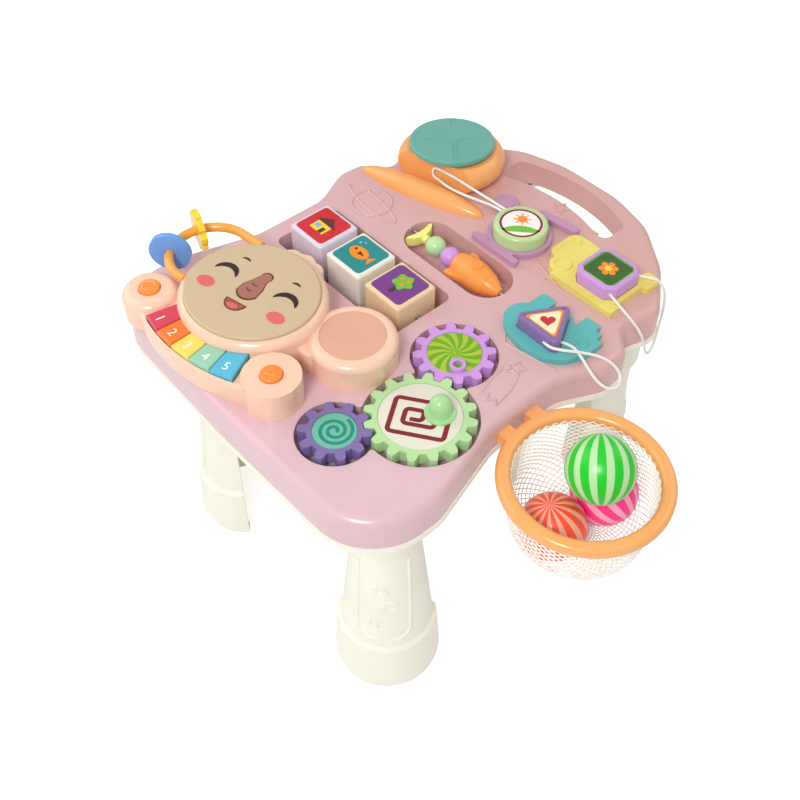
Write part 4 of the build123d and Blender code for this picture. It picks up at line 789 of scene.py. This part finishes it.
def square_spiral(sides, pitch, corner):
    """Square spiral that winds outwards, with round corners and only half of its last side."""
    reach = [pitch * (side // 2 + 1) / 2 for side in range(sides)]
    ways = ((1, 0), (0, 1), (-1, 0), (0, -1))
    corners = [Vector((-pitch / 2, -pitch / 2))]
    for side in range(sides):
        way = Vector(ways[side % 4])
        start = corners[-1]
        run = reach[side] - start.dot(way)
        corners.append(start + way * run)
    points = [tuple(corners[0])]
    for side in range(1, sides):
        into = Vector(ways[(side - 1) % 4])
        away = Vector(ways[side % 4])
        centre = corners[side] - into * corner + away * corner
        first = 270 + 90 * (side - 1)
        points += arc(centre, corner, first, first + 90, CORNER_POINTS)
    return points + [tuple(corners[-1] * 0.5 + corners[-2] * 0.5)]


MAZE_SIDES = 10
MAZE_PITCH = 10.3
MAZE_CORNER = 3.4
MAZE_SHIFT = -2.6
MAZE_WIDTH = 4.1
MAZE_TURN = 35.0
maze = moved(square_spiral(MAZE_SIDES, MAZE_PITCH, MAZE_CORNER), MAZE_SHIFT, 0)
maze = moved(band(maze, MAZE_WIDTH), 0, 0, MAZE_TURN)
gear_art("large_gear", "gear_green", LARGE_DISC_R, "oat", "maze", [maze], "maroon")

WHORL_TURNS = 2.27
WHORL_STEPS = 80
WHORL_IN = 1.6
WHORL_GROW = 13.6
WHORL_WIDTH = 2.9
whorl = []
for step in range(WHORL_STEPS + 1):
    share = step / WHORL_STEPS
    whorl.append(polar(WHORL_IN + WHORL_GROW * share, 360 * WHORL_TURNS * share))
whorl = band(whorl, WHORL_WIDTH)
gear_art("small_gear", "gear_blue", SMALL_DISC_R, "mint", "whorl", [whorl], "pine")

PETALS = 12
PETAL_LEAN = 30.0
PETAL_STEPS = 8
PETAL_IN = 1.2
PETAL_GROW = MEDIUM_DISC_R - 1.6
petals = []
for petal in range(PETALS):
    near_side, far_side = [], []
    for step in range(PETAL_STEPS + 1):
        share = step / PETAL_STEPS
        radius = PETAL_IN + PETAL_GROW * share
        angle = 360 / PETALS * petal + PETAL_LEAN * share
        near_side.append(polar(radius, angle))
        far_side.append(polar(radius, angle + 180 / PETALS))
    petals.append(near_side + far_side[::-1])
gear_art("medium_gear", "orchid", MEDIUM_DISC_R, "lime", "swirl", petals, "leaf")


# Drawings for the prints on the blocks and the toys, each about its middle
HEART_STEPS = 48


def heart_outline(size):
    """Heart whose half width is 16 times the size."""
    points = []
    for step in range(HEART_STEPS):
        t = 2 * pi * step / HEART_STEPS
        across = 16 * sin(t) ** 3
        up = 13 * cos(t) - 5 * cos(2 * t) - 2 * cos(3 * t) - cos(4 * t)
        points.append((across * size, up * size))
    return points


def triangle_outline(radius, corner):
    """Triangle with one tip up, whose round corners have their centres on a circle."""
    points = []
    for tip in (90, 210, 330):
        points += arc(polar(radius, tip), corner, tip - 60, tip + 60, 7)
    return points


RAY = [(-1.1, 7.2), (1.1, 7.2), (0, 11.0)]
SUN_SHAPES = [ring_points(6.0, 32)] + [moved(RAY, 0, 0, 45 * ray) for ray in range(8)]
FLOWER_SHAPES = [moved(ring_points(3.0, 20), *polar(6.2, 60 * leaf)) for leaf in range(6)]
HILL = arc((0, -33), 29, 130, 50, 14) + [(11, -13), (-11, -13)]
CROWN = moved([polar(9.2 + 1.3 * cos(radians(30 * step)), 6 * step) for step in range(60)], 0, 4)
ROOF = [(-12.5, 2.4), (12.5, 2.4), (0, 12.5)]
DOOR = [(2, -10), (6.5, -10), (6.5, -2.5), (2, -2.5)]
HOUSE = [
    ([[(-9, -10), (9, -10), (9, 2), (-9, 2)]], "yellow"),
    ([ROOF, DOOR], "umber"),
    ([[(-7, -6), (-1.5, -6), (-1.5, -0.8), (-7, -0.8)]], "sky"),
]
FISH = [
    ([oval(-2.5, 0, 11, 7.4), [(8.9, 0), (14.5, 6.4), (14.5, -6.4)]], "orange"),
    ([oval(-8.6, 1.8, 1.5, 1.5, 16), [(-3, -2.4), (4.5, 0), (-3, 2.4)]], "umber"),
    ([oval(-12, 10, 1.6, 1.6, 16), oval(-8, 13, 1.1, 1.1, 16)], "sky"),
]
TREE = [
    ([[(-2.4, -13), (2.4, -13), (1.6, -5), (-1.6, -5)]], "umber"),
    ([CROWN], "grass"),
    ([oval(x, y, 1.9, 1.9, 20) for x, y in ((-4, 6.6), (3.4, 8), (1.6, 0.6))], "orange"),
]
SUN = [(SUN_SHAPES, "yellow")]
BLOOM = [(FLOWER_SHAPES, "white"), ([ring_points(2.8, 24)], "yellow")]
STAR = [([star(11.5, 5.2)], "cream")]

# Picture blocks: a printed label with a plain motif on the upper and the lower side
LABEL = 38.6
LABEL_CORNER = 4.0
LABEL_T = 0.25
LABEL_LIFT = 0.7
LABELS = {
    "picture_block_1": ("red", HOUSE, SUN),
    "picture_block_2": ("teal", FISH, BLOOM),
    "picture_block_3": ("purple", TREE, STAR),
}


def block_side(block, tag, facing, paper, motif):
    """Label and motif on a block's upper side, facing 1, or its lower side, facing -1."""
    low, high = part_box(block)
    centre = (low + high) / 2
    half = (high.z - low.z) / 2
    out = Vector((0, 0, facing))
    layers = [([rounded_box(LABEL, LABEL, LABEL_CORNER)], paper)] + motif
    for level, (outlines, ink) in enumerate(layers):
        art = slab(f"{block}_{tag}_{level + 1}", outlines, LABEL_T)
        spot = centre + out * (half + level * LABEL_T * LABEL_LIFT * MM)
        art.data.transform(standing(spot, (1, 0, 0), (0, facing, 0)))
        fit(art, block, "block_white", INK[ink])


for block, (paper, upper, lower) in LABELS.items():
    block_side(block, "upper", 1, paper, upper)
    block_side(block, "lower", -1, paper, lower)


# Shape toys: printed fields let into their tops, each print with its ink and its layer
TOY_TOP = 18.0
TOY_PRINT_T = 0.3
TOY_LAYER = 0.2
TOY_TURN = 42.0
ROUND_PRINTS = [
    ("field", [ring_points(21.2, 64)], "white", 0),
    ("ring", [ring_points(20.4, 64), ring_points(18.2, 64)], "maroon", 1),
    ("hill", [moved(HILL, 0, 0, TOY_TURN)], "grass", 1),
    ("sun", [moved(shape, -3, 5, TOY_TURN, 0.8) for shape in SUN_SHAPES], "orange", 2),
]
SQUARE_PRINTS = [
    ("field", [rounded_box(36.4, 36.4, 5)], "grass", 0),
    ("panel", [rounded_box(33.4, 33.4, 4)], "forest", 1),
    ("flower", [moved(shape, 0, 0, TOY_TURN) for shape in FLOWER_SHAPES], "orange", 2),
    ("eye", [ring_points(3.6, 24)], "yellow", 3),
]
TRIANGLE_PRINTS = [
    ("field", [triangle_outline(15.5, 4.0)], "orange", 0),
    ("panel", [triangle_outline(13.5, 2.5)], "cream", 1),
    ("heart", [moved(heart_outline(0.42), 0, 0, TOY_TURN)], "red", 2),
]


def toy_prints(toy, slot, place, prints):
    """All the prints of one toy, about its middle."""
    for tag, outlines, ink, layer in prints:
        art = slab(f"{toy}_{tag}", outlines, TOY_PRINT_T)
        settle(art, at(*place, TOY_TOP + layer * TOY_LAYER))
        fit(art, toy, slot, INK[ink])


toy_prints("round_toy", "toy_green", (14.0, 109.0), ROUND_PRINTS)
toy_prints("square_toy", "orchid", (110.0, 122.0), SQUARE_PRINTS)
toy_prints("triangle_toy", "violet", (119.0, 33.0), TRIANGLE_PRINTS)

# Face, keys and buttons of the piano module
FACE_TOP = top_of("face_plate")
FACE_TURN = FAN_TURN + 6.0
FACE_AT = (0.0, -86.0)
FACE_PRINT_T = 0.25
FACE_LAYER = 0.18
TAPER_STEPS = 16
TAPER_POWER = 0.6
SIDES = (-1, 1)


def face_print(name, outlines, ink, layer=0):
    """Print on the face plate, drawn about its middle."""
    art = slab(name, outlines, FACE_PRINT_T)
    settle(art, on_fan(*FACE_AT, FACE_TOP + layer * FACE_LAYER), FACE_TURN)
    fit(art, "table", "face_cream", INK[ink])


def tapered_arc(centre, radius, start, end, width):
    """Arc band that thins to points at both ends."""
    outer, inner = [], []
    for step in range(TAPER_STEPS + 1):
        share = step / TAPER_STEPS
        angle = start + (end - start) * share
        half = width / 2 * sin(pi * share) ** TAPER_POWER
        outer.append(polar(radius + half, angle))
        inner.append(polar(radius - half, angle))
    return moved(outer + inner[-2:0:-1], *centre)


TRUNK = arc((0, -3), 11.5, 200, 340, 15) + [(9.5, 4), (6.5, 12)]
TRUNK += arc((1.5, 18), 6.0, -30, 190, 14) + [(-7.5, 8), (-10.4, 2)]
FOLDS = [tapered_arc((0, 6), 9.0, 235, 285, 1.2), tapered_arc((0, 13), 8.5, 235, 290, 1.2)]
MOUTH = arc((0, 0), 11, 0, -180, 18)
face_print("face_eyes", [tapered_arc((side * 33, 0), 12.0, 12, 168, 5.8) for side in SIDES], "dark")
face_print("face_brows", [tapered_arc((side * 28, 20), 7.0, 50, 130, 2.2) for side in SIDES], "dark")
face_print("face_cheeks", [oval(side * 39, -15, 8.8, 6.3) for side in SIDES], "blush")
face_print("face_trunk_line", [TRUNK], "umber")
face_print("face_trunk", [moved(TRUNK, 0, 0.4, 0, 0.91)], "trunk", 1)
face_print("face_trunk_folds", FOLDS, "umber", 2)
face_print("face_mouth_line", [moved(MOUTH, 0, -19)], "umber")
face_print("face_mouth", [moved(MOUTH, 0, -19.9, 0, 0.86)], "rose", 1)
face_print("face_tongue", [oval(0, -25.2, 5.8, 2.9)], "blush", 2)

KEY_COUNT = 5
KEY_PITCH = 7.5
KEY_TOP = 27.0
NUMBER_R = 160.0
NUMBER_SIZE = 12.0
NUMBER_T = 0.3


def raised_text(name, text, size, height):
    """Plain letters as a mesh, centred on the origin."""
    data = bpy.data.curves.new(name, "FONT")
    data.body = text
    data.size = size * MM
    data.extrude = height / 2 * MM
    data.align_x = "CENTER"
    data.align_y = "CENTER"
    piece = bpy.data.objects.new(name, data)
    bpy.context.scene.collection.objects.link(piece)
    to_mesh(piece)
    clean(piece, SLAB_SHARP)
    return piece


for index in range(KEY_COUNT):
    key = f"key_{index + 1}"
    angle = -90 + (index - (KEY_COUNT - 1) / 2) * KEY_PITCH
    number = raised_text(f"key_number_{index + 1}", str(index + 1), NUMBER_SIZE, NUMBER_T)
    settle(number, on_fan(*polar(NUMBER_R, angle), KEY_TOP), angle + 90 + FAN_TURN)
    fit(number, key, SLOT_OF[key], INK["white"])

ICON_R = 0.8
BUTTON_ICONS = {
    "button_left": arc((0, 0), 5.6, 40, 320, 24),
    "button_right": [(-3.2, -5), (5.2, 0), (-3.2, 5), (-3.2, -5)],
}
for button, line in BUTTON_ICONS.items():
    low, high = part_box(button)
    middle = (low + high) / 2
    icon = rod(f"{button}_icon", [line], ICON_R)
    settle(icon, (middle.x, middle.y, high.z))
    fit(icon, button, "button_orange", FINISH["dome_orange"])


# Rocket: window ring and nose band, at distances from its tail and above its rod
WINDOW_AT = 24.0
WINDOW_LIFT = 13.6
WINDOW_R = 5.0
WINDOW_LINE_R = 1.2
NOSE_AT = 40.5
NOSE_R = 10.7
NOSE_LINE_R = 0.9
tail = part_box("rocket")[0]
rod_line = PIVOTS["bead_mint"]
window = rod("rocket_window", [ring_points(WINDOW_R, 32)], WINDOW_LINE_R, True)
settle(window, (tail.x + WINDOW_AT * MM, rod_line.y, rod_line.z + WINDOW_LIFT * MM))
fit(window, "rocket", "rocket_orange")
nose_band = rod("rocket_nose_band", [ring_points(NOSE_R, 40)], NOSE_LINE_R, True)
settle(nose_band, (tail.x + NOSE_AT * MM, rod_line.y, rod_line.z), 90, "Y")
fit(nose_band, "rocket", "rocket_orange")


# Raised lines moulded into the deck, each an open or a closed set
DECK_LINE_R = 1.3
PLANET_AT = (-119.0, 38.0)
COMET_TAIL = [
    (121, -22),
    (123, -37),
    (129, -56),
    (134, -51),
    (138, -57),
    (142, -51),
    (147, -56),
    (143, -36),
    (137, -21),
]
STAR_TAIL = [[(20, 167), (40, 158), (49, 155)], [(21, 174), (42, 169), (60, 169)]]


def deck_lines(name, lines, closed=False):
    """Rods half sunk in the deck's top."""
    piece = rod(name, lines, DECK_LINE_R, closed)
    settle(piece, at(0, 0, 0))
    fit(piece, "table", "deck_pink")


deck_lines("deck_planet", [moved(ring_points(20, 40), *PLANET_AT)], True)
deck_lines("deck_planet_orbit", [moved(oval(0, 0, 38, 8.5, 48), *PLANET_AT, -6)], True)
deck_lines("deck_comet", [moved(star(9, 4), 129, -14, 20)], True)
deck_lines("deck_comet_tail", [COMET_TAIL])
deck_lines("deck_star", [moved(star(9, 4), 10, 171, 10)], True)
deck_lines("deck_star_tail", STAR_TAIL)
deck_lines("deck_track", [[(37, 85), (70, 85)], [(41, 99), (91, 84), (150, 90)]])
deck_lines("deck_wake", [[(68, 19), (81, 21)], [(95, 7), (102, 0), (154, 9)]])

# Raised rings on the plates: place from the table's axis, radius and slot
PLATE_TOP = 6.0
PLATE_LINE_R = 1.2
PLATE_RINGS = {
    "tail_rotor_ring": (-28, 133, 8.5, "plate_purple"),
    "digger_wheel_ring": (70, 107, 8.0, "plate_yellow"),
    "digger_lamp_ring": (58, 140, 4.0, "plate_yellow"),
    "ship_porthole": (150, 46, 4.0, "plate_teal"),
}
for name, (x, y, radius, slot) in PLATE_RINGS.items():
    ring = rod(name, [ring_points(radius, 40)], PLATE_LINE_R, True)
    settle(ring, at(x, y, PLATE_TOP))
    fit(ring, "table", slot)

# Curled fringe moulded behind the head of the piano module, drawn about the head
HEAD_AT = (-61.5, -144.4)
FRINGE_H = 25.0
FRINGE_EDGE = 2.5
FRINGE_FROM = 78.0
FRINGE_SPAN = 50.0
FRINGE_IN = 58.0
FRINGE_OUT = 63.0
FRINGE_SWELL = 9.5
FRINGE_CURL = 2.6
FRINGE_CURLS = 3.5
INNER_STEPS = 12
OUTER_STEPS = 48
fringe = []
for step in range(INNER_STEPS + 1):
    fringe.append(polar(FRINGE_IN, FRINGE_FROM + FRINGE_SPAN - FRINGE_SPAN * step / INNER_STEPS))
for step in range(OUTER_STEPS + 1):
    share = step / OUTER_STEPS
    swell = FRINGE_SWELL * sin(pi * share) ** 0.5
    curl = FRINGE_CURL * abs(sin(FRINGE_CURLS * pi * share))
    fringe.append(polar(FRINGE_OUT + swell + curl, FRINGE_FROM + FRINGE_SPAN * share))
head_fringe = slab("head_fringe", [fringe], FRINGE_H, FRINGE_EDGE)
settle(head_fringe, at(*HEAD_AT, 0))
fit(head_fringe, "table", "module_peach")

# Raised ridge and small shapes on each leg, wrapped round its tapering side.
# A shin's end is its radius and height; a leg is its place and its outward angle.
SHIN_FOOT = (44.0, 66.0)
SHIN_TOP = (31.0, 195.0)
LEGS = {
    "front_right": (119, -152, -45),
    "front_left": (-119, -152, -135),
    "back_right": (119, 125, 45),
    "back_left": (-119, 125, 135),
}
RIDGE_R = 1.6
SHAPE_R = 1.0
RIDGE = [(-24, 190), (-24.6, 165), (-25.2, 140), (-26, 115)] + arc((-12, 92), 14, 180, 270, 7)
RIDGE += [(-across, height) for across, height in RIDGE[::-1]]
LEG_SHAPES = [
    moved(star(9, 4), -3, 156, 14),
    moved(ring_points(7, 28), 7, 130),
    moved(star(7, 3.2), -8, 104, -10),
]


def on_leg(leg, across, height):
    """Point on a leg's side, at a distance across its outward line and a height above the floor."""
    x, y, out = LEGS[leg]
    share = (height - SHIN_FOOT[1]) / (SHIN_TOP[1] - SHIN_FOOT[1])
    radius = SHIN_FOOT[0] + (SHIN_TOP[0] - SHIN_FOOT[0]) * share
    angle = radians(out) + across / radius
    return (x + radius * cos(angle), y + radius * sin(angle), height - DECK_Z / MM)


def leg_lines(leg, tag, lines, radius, closed):
    """Rods half sunk in a leg's side."""
    wrapped = [[on_leg(leg, *point) for point in line] for line in lines]
    piece = rod(f"leg_{leg}_{tag}", wrapped, radius, closed)
    settle(piece, at(0, 0, 0))
    fit(piece, "table", "frame_cream")


for leg in LEGS:
    leg_lines(leg, "ridge", [RIDGE], RIDGE_R, False)
    leg_lines(leg, "shapes", LEG_SHAPES, SHAPE_R, True)

# Raised lines on the dial, upright as the photo shows them
DIAL_TOP = 34.8
DIAL_LINE_R = 0.7
WAVE_STEPS = 40
WAVE_SPAN = 58.0
WAVE_HEIGHT = 3.5
WAVE_TURN = 540.0
DIAL_STROKES = [
    [(0, -8), (0, -38)],
    [(4, -8), (4, -38)],
    [(0, 28), (0, 38)],
    [(-24, 20), (-8, 20)],
    [(17, -8), (31, -27)],
]
wave = []
for step in range(WAVE_STEPS + 1):
    rise = WAVE_HEIGHT * sin(radians(WAVE_TURN) * step / WAVE_STEPS)
    wave.append((-WAVE_SPAN / 2 + WAVE_SPAN * step / WAVE_STEPS, rise - 1))
dial_joint = next(joint for joint in frame["joints"] if joint["child"] == "dial")
dial_axis = Vector(dial_joint["axis"]).normalized()
dial_right = Vector((*polar(1, CAMERA_TURN), 0))
dial_frame = standing(
    PIVOTS["dial"] + dial_axis * DIAL_TOP * MM,
    dial_right - dial_axis * dial_right.dot(dial_axis),
    dial_axis.cross(dial_right),
)
dial_lines = rod("dial_lines", [wave] + DIAL_STROKES, DIAL_LINE_R)
dial_lines.data.transform(dial_frame)
fit(dial_lines, "dial", "dial_teal")
